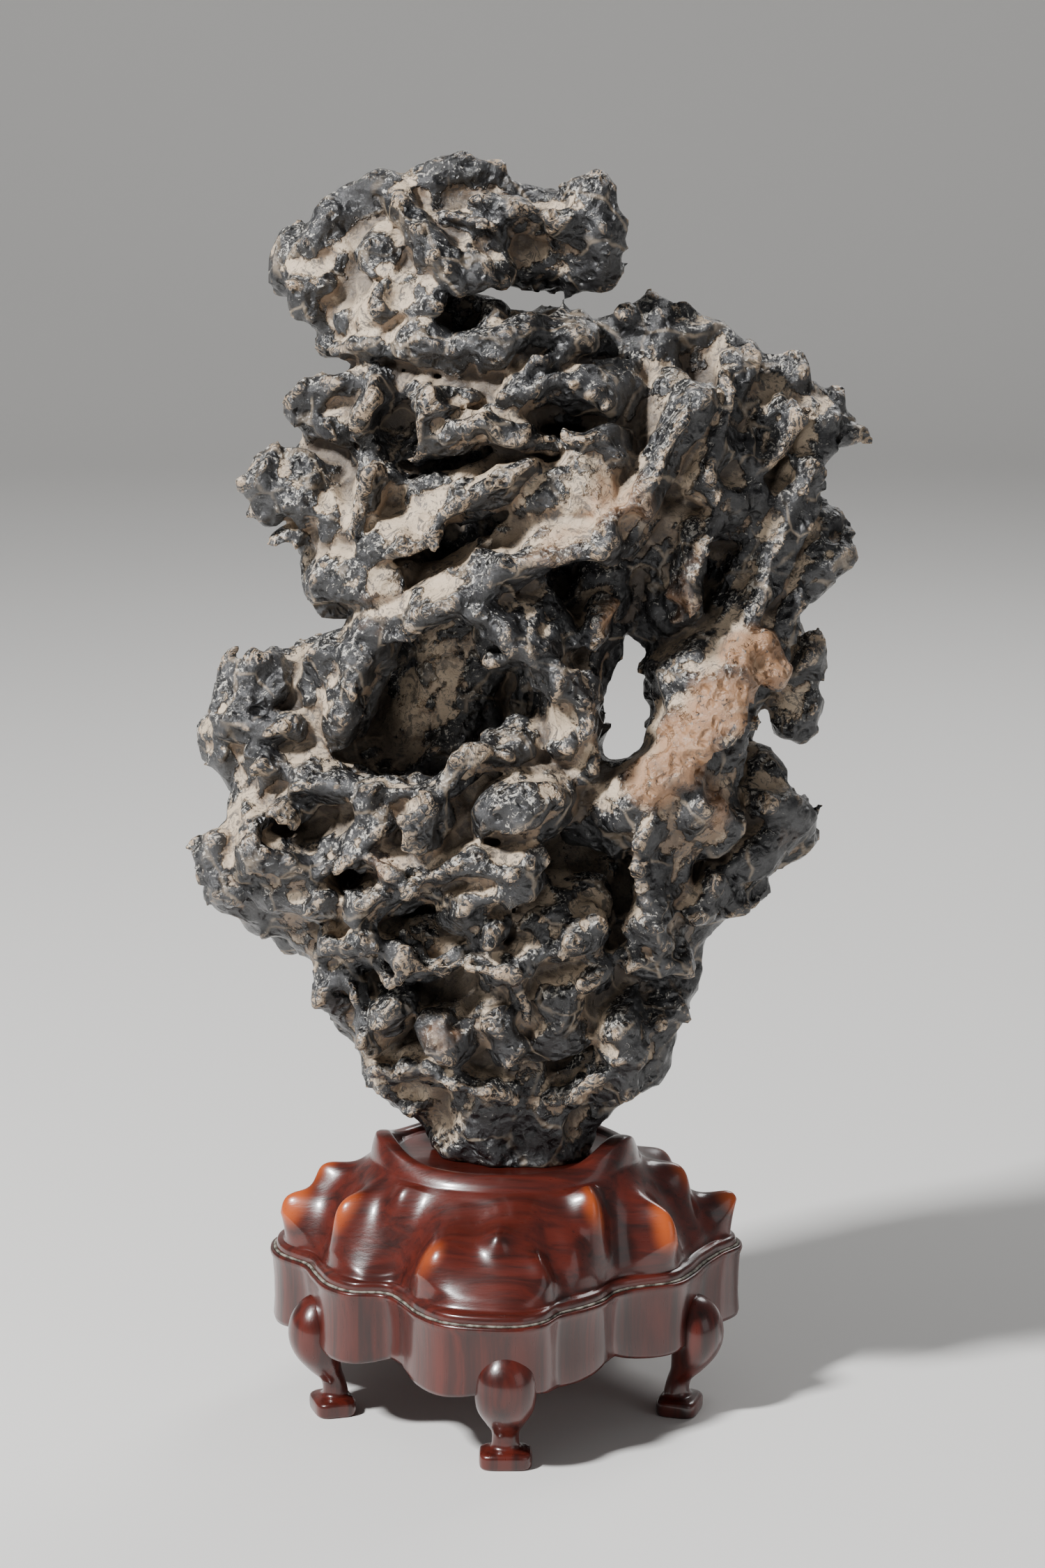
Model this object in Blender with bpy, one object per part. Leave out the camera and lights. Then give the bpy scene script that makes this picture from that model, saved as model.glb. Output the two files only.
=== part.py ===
"""A scholar's stone standing on a carved hardwood stand.

The stone is one piece of grey limestone, worn into slanting ridges, knobs and scooped hollows, with one
opening right through it and a gap under its cap. Its foot stands loose in a socket carved in the stand.
The stand has a knobbed top, a lobed apron under it and five short legs. Metres, +Z up, front towards -Y.
"""

import math

import bmesh
import bpy
import numpy as np

MM = 0.001
GAP = 0.3

# Driving sizes of the stone, in millimetres
STONE_BASE = 112.0
VOXEL = 3.2
BEDDING_SLANT = math.radians(48.0)
STONE_KEPT = 0.055
STONE_ACROSS = 7.0
ROOT_DEPTH = 26.0
ROOT_SWELL = 8.0
ROOT_BODY = 0.12
CREST = 0.5
BLUNT_FROM = 6.0
BLUNT_OVER = 5.0
HOLLOW_SINK = 2.5
SCOOP_SIZE = 15.0
SCOOP_DEPTH = 7.0
SCOOP_LEVEL = 0.45
SWELL_SIZE = 22.0
SWELL_RISE = 3.0
SWELL_LEVEL = 0.5
BEDDING_STRETCH = (2.0, 1.6, 1.2)
UNDER_HALF = 90.0
UNDER_LOW = 40.0
STONE_COLOUR = (0.20, 0.18, 0.16)

# The level line that the forms are read along: the eye stands in front, a little above the stone
EYE_DISTANCE = 1875.0
EYE_PITCH = math.radians(12.0)
EYE_ACROSS = 7.2
AIM_UP = 275.7
AIM_READING = 296.1

# Driving sizes of the stand, in millimetres
SOCKET_FLOOR = STONE_BASE - GAP
SOCKET_HALF = (49.0, 40.5)
LIP_HALF = (54.5, 46.0)
COLLAR_HALF = (58.5, 51.0)
LIP_FRONT = 114.0
LIP_BEVEL = 1.5
COLLAR_DROP = 5.0
SLOPE_DROP = 7.0
SLOPE_STRAIGHT = 0.62
SLOPE_SHARES = (0.08, 0.2, 0.34, 0.5, 0.68, 0.86)
SLOPE_INSET = 3.5
KNOB_LEAN = 0.62
VALLEY_LEAN = 0.3
FADE_OUTER = 0.12
FADE_INNER = 0.1
PLATE_UNDER = 64.5
APRON_THICK = 11.0
LIP_OUT = 2.1
EDGE_HIGH = 40.0
EDGE_DROP = 7.5
LOBE_ROUND = 0.7
LOBE_NECK = 0.45
WOOD_COLOUR = (0.10, 0.02, 0.012)
LEG_ANGLES = {
    "leg_front": 0.0,
    "leg_right_front": 73.0,
    "leg_right_back": 145.0,
    "leg_left_back": -145.0,
    "leg_left_front": -73.0,
}
LEG_RADIUS = {0.0: 94.0, 73.0: 84.5, 145.0: 91.0, -145.0: 91.0, -73.0: 84.5}
TOP_STEPS = 68
APRON_STEPS = 60
LEG_STEPS = 14

# Level sections of a leg: height, half-width, half-depth, shift outwards, squareness (2 is an ellipse)
LEG_SECTIONS = [
    (0.0, 11.0, 8.8, -5.0, 4.0), (5.4, 11.0, 8.8, -5.0, 4.0), (7.2, 7.6, 6.6, -5.8, 3.0),
    (10.5, 5.8, 5.4, -6.2, 2.0), (15.0, 6.0, 5.4, -5.0, 2.0), (20.0, 8.4, 7.2, -1.6, 2.0),
    (27.0, 12.0, 9.9, 1.6, 2.0), (35.0, 13.2, 10.9, 3.2, 2.0), (43.0, 12.2, 10.2, 3.1, 2.0),
    (49.0, 9.0, 8.0, 2.0, 2.0), (54.0, 3.0, 3.0, -0.6, 2.0),
]

# Profile of the top's rim: shift out from the rim's line, and height above the underside
RIM_PROFILE = [(-14.0, 0.0), (-2.5, 0.0), (-0.5, 1.2), (0.0, 3.0), (-2.0, 5.0)]
RIM_TOP = PLATE_UNDER + RIM_PROFILE[-1][1]

# Profile of the apron's wall: shift out from the rim's line, share of the wall's height, and rise above that
APRON_PROFILE = [
    (-APRON_THICK - 2.0, 1.0, 0.0), (-APRON_THICK, 0.0, 1.0), (-5.0, 0.0, 0.0), (-2.5, 0.0, 2.0),
    (0.5, 0.5, 0.0), (0.5, 1.0, -2.8), (LIP_OUT, 1.0, -1.4), (0.6 * LIP_OUT, 1.0, 0.2), (-1.5, 1.0, 0.0),
]

# Leaves of the socket's lip: direction and half-width in degrees, and rise above the front
LEAVES = [(-82.0, 22.0, 8.0), (68.0, 20.0, 10.0), (180.0, 40.0, 5.0)]

# Plan of the stand: degrees round from the front, and the rim's distance from the middle in millimetres
PLAN = [
    (-180, 102), (-164, 91), (-152, 97), (-140, 97), (-128, 88), (-116, 93), (-104, 102), (-96, 103),
    (-88, 99), (-79, 89), (-70, 88), (-59, 89), (-50, 86), (-42, 77), (-33, 81), (-23, 92), (-15, 99),
    (-5, 101), (4, 101), (10, 96), (15, 87), (23, 83), (31, 79), (40, 73), (49, 75), (60, 84), (69, 86),
    (80, 88), (89, 94), (96, 103), (104, 102), (116, 93), (128, 88), (140, 97), (152, 97), (164, 91),
]

# Carved knobs of the stand's top: across, back, height above the slope, half-width across and in depth
KNOBS = [
    (-89, -1, 13, 8, 8), (-75, 6, 9, 6, 7), (-66, -32, 10, 8, 8), (-43, -42, 2.5, 7, 7), (-30, -73, 6, 13, 9),
    (-3, -73, 3.5, 6, 6), (17, -80, 3.5, 7, 6), (29, -64, 2, 8, 7), (35, -47, 6, 7, 7), (65, -37, 10, 9, 8),
    (72, 0, 9, 7, 8), (93, 14, 13, 7, 7), (66, 30, 9, 9, 9), (-84, 32, 9, 8, 8), (-60, 52, 9, 10, 9),
    (-24, 72, 7, 10, 8), (20, 73, 8, 9, 8), (54, 58, 8, 8, 8), (88, 40, 6, 7, 7),
]
# Valleys between the knobs, in the same terms, below the slope
VALLEYS = [
    (-55, -55, 4, 12, 9), (-12, -62, 2.5, 9, 9), (46, -60, 4, 9, 9), (84, -22, 4, 9, 9), (-84, -22, 4, 8, 8),
    (0, 62, 3, 9, 9), (-45, 66, 4, 9, 8), (42, 70, 3, 8, 8),
]

# Forms of the stone, each a run of balls (across, up, depth, radius) in millimetres as read from the front.
# Neighbouring balls of a run share one skin; across grows to the right, depth grows to the back.
MASSES = [
    # foot and lower body
    [(0, 147, 1, 32), (0, 165, 0, 35), (-4, 200, 2, 38), (-8, 240, 6, 42), (-12, 280, 8, 42)],
    [(0, 147, 1, 32), (25, 148, -2, 15), (43, 164, -8, 12)],
    [(-30, 153, 4, 13), (-40, 176, 4, 22), (-54, 204, 4, 25), (-66, 238, 4, 28), (-96, 258, 0, 24),
     (-112, 262, -4, 20)],
    [(-92, 232, 18, 11), (-104, 241, 14, 11), (-118, 258, 6, 14)],
    [(43, 164, -8, 12), (46, 169, -6, 15), (54, 184, -2, 23), (56, 202, 0, 26), (60, 238, 0, 30), (84, 264, 2, 28)],
    [(30, 215, 0, 30), (26, 255, 4, 34), (22, 285, 2, 28)],
    # middle
    [(-12, 280, 8, 42), (-22, 325, 18, 38), (-18, 350, 18, 38), (0, 388, 10, 40)],
    [(14, 290, -4, 26), (16, 330, -8, 18), (22, 368, -8, 24)],
    [(-56, 290, 4, 30), (-78, 312, 8, 26), (-78, 330, 8, 28), (-100, 332, 6, 22), (-116, 318, 2, 17)],
    [(-78, 300, 4, 26), (-106, 305, 2, 20)],
    # right of the hole
    [(88, 262, 4, 28), (80, 294, 12, 18), (88, 318, 12, 15), (104, 345, 8, 19), (98, 370, 8, 24)],
    [(120, 280, -4, 10), (108, 286, -6, 12)],
    [(126, 332, 8, 13), (122, 322, 8, 11), (124, 348, 4, 14)],
    # upper body
    [(0, 388, 10, 40), (6, 428, 8, 38), (-4, 462, 6, 30)],
    [(-40, 390, 8, 34), (-46, 425, 6, 34), (-42, 455, 6, 32), (-44, 485, 8, 22)],
    [(-74, 385, 0, 16), (-74, 420, 0, 22), (-72, 452, 2, 17)],
    [(44, 392, 4, 36), (52, 425, 2, 38), (60, 462, 4, 30), (68, 490, 2, 14)],
    [(96, 385, 4, 26), (108, 420, 2, 26), (104, 456, 2, 24), (120, 462, 0, 15)],
    [(-2, 484, 2, 18), (26, 482, 2, 18), (56, 488, 2, 16)],
    [(-32, 498, 4, 16), (-8, 496, 4, 14)],
    [(50, 395, -8, 24), (66, 374, -16, 19), (78, 356, -10, 15)],
    # cap
    [(-44, 485, 8, 24), (-52, 508, 8, 24), (-34, 530, 4, 25), (-6, 535, 2, 22), (20, 530, -2, 14)],
    [(-52, 508, 8, 24), (-72, 522, 6, 18), (-84, 516, 2, 13)],
]
RIDGES = [
    # cap
    [(-36, 556, -6, 8), (-27, 561, -6, 8), (-14, 561.5, -6, 8), (-3, 558, -4, 8), (6, 550, -4, 8),
     (19, 544, -6, 9)],
    [(-66, 549, -4, 9), (-54, 555, -6, 8), (-48, 551, -10, 7)],
    [(-74, 540, -4, 11), (-84, 526, -6, 9), (-89, 511, -6, 9)],
    [(-91, 509, -10, 7), (-82, 498, -8, 8), (-72, 490, -4, 10)],
    [(37, 547, -16, 11), (40, 535, -20, 13), (42, 520, -16, 11)],
    [(46, 540, -14, 7), (45, 527, -20, 8)],
    [(28, 519, -12, 8), (8, 523, -12, 10), (-15, 519, -12, 12), (-36, 515, -12, 12)],
    [(-47, 548, -28, 6), (-42, 538, -38, 6), (-30, 524, -44, 7), (-18, 513, -42, 7), (-4, 514, -36, 7)],
    [(-22, 541, -32, 5), (-12, 537, -36, 6), (-8, 526, -38, 7), (-12, 516, -40, 8)],
    [(-12, 548, -28, 6), (4, 544, -30, 6), (18, 539, -28, 7), (30, 534, -26, 8)],
    [(-56, 521, -30, 8), (-56, 521, -20, 12)],
    [(-90, 514, -12, 9), (-80, 512, -8, 10)],
    # neck and top of the body
    [(-52, 502, -34, 11), (-32, 504, -36, 8)],
    [(-60, 498, -28, 9), (-74, 496, -18, 6)],
    [(-58, 486, -28, 9), (-73, 481, -18, 6)],
    [(-7, 500, -30, 8), (-7, 490, -32, 12)],
    [(-42, 488, -42, 7), (-26, 484, -47, 7), (-20, 489, -47, 6), (-4, 485, -48, 8), (12, 489, -44, 8),
     (30, 488, -40, 9)],
    [(52, 496, -8, 9), (60, 500, -2, 8), (76, 500, 0, 8), (90, 487, 0, 9), (104, 481, 0, 9),
     (118, 476, 0, 8), (134, 461, 0, 8), (144, 449, 0, 8)],
    [(120, 470, -4, 8), (128, 471, -10, 6)],
    [(144, 449, 0, 8), (154, 445, -4, 5)],
    [(-6, 478, -42, 6), (-6, 480, -30, 10)],
    [(-95, 462, -18, 4.5), (-84, 468, -22, 7), (-70, 469, -22, 9), (-56, 472, -22, 12)],
    [(-101, 427, -24, 13), (-86, 420, -26, 12), (-70, 410, -28, 14)],
    [(-103, 417, -20, 9), (-92, 432, -24, 9)],
    [(-96, 403, -18, 7), (-84, 399, -20, 8), (-72, 400, -20, 12)],
    [(-82, 448, -10, 9), (-72, 452, -16, 12)],
    [(-57, 463, -46, 6), (-66, 452, -44, 5)],
    # fins
    [(-16, 461, -60, 4), (-30, 460, -62, 6), (-38, 450, -60, 6), (-44, 440, -57, 5)],
    [(-30, 458, -48, 10), (-36, 446, -46, 10)],
    [(-50, 438, -54, 4.5), (-40, 437, -57, 4.5)],
    [(-24, 446, -62, 5), (-8, 452, -65, 5), (0, 450, -65, 5), (10, 445, -63, 5), (21, 444, -61, 5)],
    [(0, 460, -58, 6), (10, 466, -58, 6), (25, 468, -54, 7), (40, 462, -50, 8)],
    [(15, 475, -52, 7), (20, 478, -44, 9)],
    [(-58, 430, -56, 5), (-66, 415, -52, 5), (-68, 404, -50, 6)],
    [(-28, 415, -67, 5), (-31, 402, -67, 5)],
    [(-52, 380, -48, 12), (-62, 385, -46, 13), (-76, 384, -34, 12)],
    [(-60, 396, -50, 8), (-44, 398, -56, 8), (-32, 400, -62, 6)],
    [(12, 433, -66, 5), (-5, 426, -69, 6), (-20, 420, -69, 6), (-28, 412, -67, 6)],
    # main ridge
    [(-60, 363, -52, 7), (-40, 367, -62, 8), (-20, 378, -69, 9), (0, 390, -73, 9), (18, 396, -73, 9),
     (40, 401, -71, 9), (55, 413, -67, 9), (62, 425, -63, 8), (72, 437, -58, 8), (84, 458, -50, 8)],
    [(16, 420, -50, 16), (34, 424, -50, 20), (42, 436, -48, 16)],
    [(24, 446, -62, 5), (42, 443, -61, 5), (52, 436, -60, 6)],
    # upper right
    [(94, 482, -20, 6), (103, 481, -20, 6), (108, 474, -22, 5)],
    [(95, 470, -36, 6), (99, 455, -40, 7), (92, 445, -44, 7), (86, 430, -48, 7), (95, 411, -48, 7),
     (88, 398, -50, 7), (80, 385, -52, 7), (78, 373, -52, 8)],
    [(126, 456, -28, 6), (112, 437, -34, 6)],
    [(140, 448, -12, 9), (131, 434, -22, 10), (126, 416, -28, 10), (119, 400, -32, 10), (111, 380, -36, 9),
     (105, 366, -40, 8)],
    [(152, 403, -10, 5.5), (146, 396, -14, 7), (138, 388, -20, 7), (128, 376, -26, 7), (119, 365, -30, 7)],
    [(146, 396, -6, 8), (130, 384, -8, 10)],
    [(134, 360, -8, 7), (128, 350, -6, 9), (130, 343, -2, 8)],
    [(112, 354, -40, 9), (114, 343, -40, 10)],
    [(125, 363, -26, 4.5), (120, 358, -24, 7)],
    # middle
    [(38, 368, -56, 8), (38, 348, -54, 7), (37, 325, -52, 6.5), (34, 304, -54, 8)],
    [(38, 368, -30, 12), (36, 348, -28, 10), (34, 325, -28, 9), (30, 304, -30, 12)],
    [(-15, 372, -67, 8), (0, 364, -73, 10), (11, 352, -73, 11), (22, 343, -71, 11), (31, 333, -69, 9),
     (33, 320, -67, 8), (27, 311, -66, 7)],
    [(-8, 351, -63, 6), (4, 352, -66, 8)],
    [(-4, 287, -68, 11), (8, 287, -71, 14), (15, 290, -69, 12)],
    [(54, 287, -54, 13), (68, 300, -52, 17), (82, 312, -50, 19), (92, 325, -48, 18), (98, 340, -45, 14),
     (104, 360, -40, 9)],
    [(66, 300, -34, 14), (82, 316, -32, 16), (95, 338, -28, 14)],
    [(85, 288, -56, 11), (78, 282, -56, 9)],
    [(67, 282, -61, 6), (62, 270, -63, 6), (60, 260, -64, 7), (66, 245, -62, 6)],
    [(62, 235, -60, 6), (68, 225, -56, 6), (65, 217, -54, 5)],
    [(83, 240, -46, 9), (90, 252, -42, 8), (98, 240, -30, 6)],
    [(108, 287, -30, 10), (121, 282, -16, 10), (102, 262, -30, 10), (110, 272, -14, 10)],
    [(26, 222, -62, 8), (33, 228, -65, 10), (40, 234, -63, 8)],
    [(17, 218, -63, 6), (10, 214, -60, 6)],
    [(18, 237, -64, 4.5), (24, 240, -60, 6)],
    # left middle
    [(-108, 340, -18, 15), (-116, 326, -14, 13)],
    [(-130, 325, -10, 4.5), (-115, 322, -30, 5), (-95, 321, -38, 6)],
    [(-131, 306, -6, 6), (-120, 306, -14, 9)],
    [(-105, 305, -38, 7), (-88, 301, -44, 8)],
    [(-65, 350, -50, 9), (-68, 335, -50, 9), (-72, 322, -46, 8)],
    [(-74, 352, -36, 12), (-80, 338, -34, 12)],
    [(-86, 350, -42, 4.5), (-80, 354, -34, 8)],
    [(-92, 296, -48, 5), (-78, 294, -52, 5), (-60, 293, -58, 6), (-40, 294, -62, 6)],
    [(-96, 286, -46, 6), (-91, 283, -50, 6)],
    [(-110, 279, -42, 5), (-104, 282, -38, 7)],
    [(-104, 266, -46, 10), (-94, 263, -50, 9), (-80, 262, -50, 9)],
    [(-131, 258, -26, 8), (-133, 272, -22, 8), (-126, 268, -26, 12), (-122, 256, -28, 10)],
    [(-117, 246, -38, 5), (-124, 250, -32, 6)],
    [(-98, 250, -36, 12), (-80, 248, -44, 13)],
    [(-76, 262, -56, 6), (-65, 266, -61, 6), (-58, 272, -63, 6), (-52, 279, -66, 6)],
    [(-50, 257, -67, 7), (-56, 264, -66, 6)],
    [(-38, 286, -72, 11), (-38, 276, -71, 11)],
    [(-28, 298, -69, 4.5), (-20, 305, -68, 4.5), (-11, 311, -68, 4.5), (0, 308, -68, 6)],
    [(-43, 250, -69, 6), (-31, 258, -73, 6), (-20, 262, -75, 7), (0, 258, -75, 7), (12, 264, -73, 7)],
    [(-20, 244, -73, 6), (0, 248, -75, 6), (12, 250, -72, 6)],
    [(-5, 235, -69, 5), (-8, 228, -66, 5)],
    [(-63, 245, -58, 7), (-52, 246, -64, 6)],
    [(-75, 228, -46, 7), (-60, 228, -54, 7), (-48, 222, -57, 6), (-40, 216, -58, 6)],
    [(-50, 211, -50, 6), (-56, 218, -48, 7)],
    # bottom
    [(-44, 212, -56, 5), (-30, 216, -60, 6), (-15, 218, -62, 6), (5, 213, -62, 6)],
    [(6, 207, -58, 5), (9, 194, -55, 6)],
    [(22, 205, -38, 18), (22, 192, -36, 16)],
    [(36, 207, -58, 4.5), (42, 214, -54, 6)],
    [(55, 216, -58, 6), (68, 215, -50, 6), (82, 216, -34, 6)],
    [(50, 192, -42, 12), (50, 182, -40, 11)],
    [(66, 195, -34, 9), (74, 200, -26, 8)],
    [(28, 160, -42, 5), (40, 168, -44, 6), (50, 172, -40, 6), (52, 166, -36, 6)],
    [(-2, 193, -50, 11), (2, 183, -48, 10)],
    [(-30, 187, -46, 12), (-26, 184, -48, 11)],
    [(-50, 195, -40, 9), (-46, 200, -44, 7)],
    [(-67, 206, -36, 4.5), (-63, 192, -36, 5), (-58, 179, -34, 5)],
    [(-77, 206, -24, 7), (-72, 204, -20, 10)],
    [(-58, 172, -24, 7), (-34, 172, -38, 6), (0, 164, -44, 6)],
    [(-56, 166, -16, 6), (-44, 158, -14, 8)],
    # back
    [(-84, 252, 42, 12), (-40, 270, 56, 13), (0, 298, 60, 13), (26, 316, 52, 11)],
    [(-96, 326, 30, 11), (-50, 350, 54, 13), (-10, 372, 60, 14), (30, 398, 58, 14), (66, 428, 50, 13),
     (100, 450, 30, 10)],
    [(-66, 400, 34, 12), (-20, 425, 54, 13), (20, 456, 48, 13), (58, 480, 34, 11)],
    [(-40, 200, 40, 11), (0, 225, 52, 12), (50, 250, 50, 12), (88, 272, 34, 11)],
    [(-62, 440, 34, 10), (-40, 470, 40, 11), (-10, 486, 28, 10)],
    [(86, 332, 34, 10), (108, 362, 28, 11), (122, 395, 22, 11), (132, 430, 12, 10)],
    [(-78, 516, 22, 8), (-50, 535, 32, 9), (-18, 548, 28, 9), (16, 540, 18, 8)],
    [(-20, 170, 38, 10), (20, 178, 40, 11), (54, 200, 26, 10)],
]
HOLLOWS = [
    # through the stone beside the slab, and under the cap
    [(52, 338, -95, 8), (52, 338, 95, 8)],
    [(53, 327, -95, 9), (53, 327, 95, 9)],
    [(52, 316, -95, 8), (52, 316, 95, 8)],
    [(12, 503, -60, 3), (24, 503, -60, 4.5), (38, 504, -60, 4)],
    [(12, 503, -30, 3), (24, 503, -30, 4.5), (38, 504, -30, 4)],
    [(24, 503, -60, 5), (24, 503, 60, 5)],
    [(18, 504, -60, 4.5), (18, 504, 60, 4.5)],
    [(34, 504, -60, 4), (34, 504, 60, 5)],
    # cap
    [(-41, 546, -40, 6.5), (-30, 549, -40, 8), (-20, 552, -36, 6)],
    [(2, 533, -44, 8), (22, 529, -42, 7)],
    [(-9, 528, -50, 5), (-8, 527, -38, 4)],
    [(-66, 528, -46, 14), (-54, 518, -48, 12), (-46, 508, -50, 10)],
    # upper body
    [(-87, 459, -44, 5), (-80, 458, -38, 6)],
    [(-81, 425, -48, 6), (-80, 425, -40, 4)],
    [(-48, 458, -66, 9), (-50, 448, -58, 10), (-46, 448, -38, 9)],
    [(-20, 470, -66, 12), (5, 474, -64, 7)],
    [(-38, 425, -74, 16), (-40, 425, -62, 12)],
    [(-58, 408, -66, 9), (-40, 411, -72, 9)],
    [(-52, 374, -80, 12), (-25, 396, -88, 13), (0, 415, -90, 13), (15, 433, -86, 11)],
    [(-8, 440, -78, 6), (18, 452, -74, 7)],
    [(-66, 362, -66, 8), (-50, 355, -70, 9)],
    [(108, 470, -42, 12), (112, 450, -44, 12), (108, 443, -44, 10)],
    [(110, 430, -52, 10), (103, 402, -54, 10), (94, 378, -58, 9)],
    [(137, 428, -40, 6), (131, 402, -42, 7), (122, 384, -44, 6)],
    [(84, 446, -64, 7), (77, 420, -66, 8), (72, 396, -68, 7)],
    [(141, 384, -36, 6), (136, 380, -30, 6)],
    [(144, 420, -44, 10), (140, 410, -44, 8)],
    [(62, 466, -66, 14), (70, 480, -52, 12)],
    [(70, 452, -70, 8), (66, 448, -70, 8)],
    [(57, 388, -84, 7), (57, 388, -64, 6)],
    [(55, 406, -84, 6), (55, 406, -68, 4)],
    [(66, 369, -72, 8), (66, 369, -56, 7)],
    [(48, 352, -70, 8), (50, 348, -40, 8)],
    # middle
    [(-26, 330, -72, 16), (-38, 318, -58, 18), (-26, 314, -44, 14)],
    [(-46, 335, -64, 14), (-30, 345, -64, 12)],
    [(-20, 352, -82, 9), (-44, 352, -74, 9)],
    [(31, 350, -74, 3.5), (31, 350, -50, 3.5)],
    [(0, 330, -78, 16), (12, 318, -76, 12)],
    [(-6, 312, -92, 14), (8, 310, -92, 12)],
    [(40, 278, -86, 15), (36, 262, -88, 14)],
    [(10, 237, -92, 14), (30, 246, -88, 12)],
    [(54, 258, -76, 4), (50, 240, -76, 4)],
    [(96, 300, -62, 12), (104, 318, -56, 9)],
    [(76, 264, -70, 9), (82, 256, -66, 8)],
    # left middle
    [(-105, 338, -44, 9), (-106, 338, -36, 8)],
    [(-89, 335, -56, 7), (-88, 335, -42, 6)],
    [(-116, 298, -34, 7), (-108, 290, -42, 6)],
    [(-94, 276, -62, 6), (-68, 284, -68, 7), (-44, 288, -72, 6)],
    [(-118, 280, -50, 6), (-128, 284, -30, 5)],
    [(-90, 312, -60, 8), (-84, 312, -56, 7)],
    [(-30, 243, -80, 10), (-31, 243, -66, 7)],
    [(-56, 236, -72, 6), (-40, 232, -76, 7)],
    [(-112, 255, -54, 4), (-90, 244, -60, 6)],
    # bottom
    [(-38, 203, -64, 9), (-14, 205, -66, 9), (-17, 206, -50, 7)],
    [(42, 206, -66, 4), (62, 208, -62, 5), (86, 206, -46, 5)],
    [(30, 178, -60, 9), (14, 172, -60, 8)],
    [(-31, 160, -60, 5), (-31, 150, -54, 6)],
    [(-48, 186, -56, 6), (-44, 182, -56, 5)],
    # back
    [(-62, 300, 72, 14), (-20, 325, 82, 15), (12, 345, 78, 13)],
    [(-70, 375, 62, 12), (-20, 400, 80, 13), (30, 428, 80, 13), (70, 455, 64, 10)],
    [(-40, 236, 72, 12), (20, 268, 80, 13), (60, 292, 68, 11)],
    [(64, 362, 74, 15), (92, 400, 58, 13), (110, 430, 44, 9)],
    [(-36, 450, 66, 12), (10, 482, 60, 11)],
    [(-62, 518, 56, 12), (-20, 528, 54, 11)],
    [(-20, 198, 64, 10), (30, 214, 66, 10)],
    [(-100, 290, 44, 12), (-84, 300, 52, 10)],
]


def place(across, up, depth):
    """Point in space (mm) of a reading on the front view, at its own depth behind the middle plane."""
    back = EYE_DISTANCE * math.cos(EYE_PITCH)
    eye = np.array([EYE_ACROSS, -back, AIM_UP + EYE_DISTANCE * math.sin(EYE_PITCH)])
    rise = up - AIM_READING
    sheet = np.array([across, rise * math.sin(EYE_PITCH), AIM_UP + rise * math.cos(EYE_PITCH)])
    return eye + (sheet - eye) * (depth - eye[1]) / (sheet[1] - eye[1])


def clear_scene():
    for item in list(bpy.data.objects):
        bpy.data.objects.remove(item, do_unlink=True)


def link(item, parent=None):
    bpy.context.scene.collection.objects.link(item)
    item.parent = parent
    return item


def make_middle():
    """Empty that carries every piece, so that the origin lies under the middle of the whole object."""
    middle = link(bpy.data.objects.new("middle", None))
    middle.location = (-STONE_ACROSS * MM, 0.0, 0.0)
    return middle


def material(name, colour, roughness, metallic=0.0):
    made = bpy.data.materials.new(name)
    made.use_nodes = True
    shader = made.node_tree.nodes["Principled BSDF"]
    shader.inputs["Base Color"].default_value = (*colour, 1.0)
    shader.inputs["Roughness"].default_value = roughness
    shader.inputs["Metallic"].default_value = metallic
    return made


def add_object(name, shape, middle, look=None):
    """New object from points in millimetres and faces."""
    verts, faces = shape
    mesh = bpy.data.meshes.new(name)
    mesh.from_pydata([tuple(float(c) * MM for c in point) for point in verts], [], faces)
    mesh.update()
    if look:
        mesh.materials.append(look)
    return link(bpy.data.objects.new(name, mesh), middle)


def make_cutter(item):
    item.hide_render = True
    item.display_type = "WIRE"
    return item


def unit_ball():
    """Points of a small geodesic ball of radius 1."""
    ball = bmesh.new()
    bmesh.ops.create_icosphere(ball, subdivisions=3, radius=1.0)
    points = np.array([vert.co[:] for vert in ball.verts])
    ball.free()
    return points


def wrap(balls, unit):
    """Convex skin round a few balls, as points and faces."""
    skin = bmesh.new()
    for centre, radius in balls:
        for point in centre + unit * radius:
            skin.verts.new(point)
    bmesh.ops.convex_hull(skin, input=skin.verts)
    bmesh.ops.delete(skin, geom=[vert for vert in skin.verts if not vert.link_faces], context="VERTS")
    skin.verts.index_update()
    points = [vert.co[:] for vert in skin.verts]
    faces = [[vert.index for vert in face.verts] for face in skin.faces]
    skin.free()
    return points, faces


def placed(runs):
    """Every run of balls as centres in space and radii."""
    return [[(place(across, up, depth), radius) for across, up, depth, radius in run] for run in runs]


def rooted(ball, masses):
    """A ridge's ball as a crest, narrower where the ball is small, a body, and a root in the nearest mass."""
    centre, radius = ball
    middles = np.array([middle for middle, size in masses])
    sizes = np.array([size for middle, size in masses])
    far = np.linalg.norm(middles - centre, axis=1)
    nearest = int(np.argmin(far - sizes))
    inward = (middles[nearest] - centre) / max(float(far[nearest]), 1.0)
    blunt = CREST + (1.0 - CREST) * min(max((radius - BLUNT_FROM) / BLUNT_OVER, 0.0), 1.0)
    return [
        (centre - inward * radius * (1.0 - blunt), radius * blunt),
        (centre + inward * ROOT_BODY * ROOT_DEPTH, radius + ROOT_BODY * ROOT_SWELL),
        (centre + inward * ROOT_DEPTH, radius + ROOT_SWELL),
    ]


def skins(runs, masses=None):
    """The skin of every pair of neighbouring balls of every run, with roots if masses are given."""
    unit = unit_ball()
    verts = []
    faces = []
    for balls in placed(runs):
        for pair in zip(balls, balls[1:]):
            group = [part for ball in pair for part in rooted(ball, masses)] if masses else pair
            points, patches = wrap(group, unit)
            faces += [[index + len(verts) for index in patch] for patch in patches]
            verts += points
    return verts, faces


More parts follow.
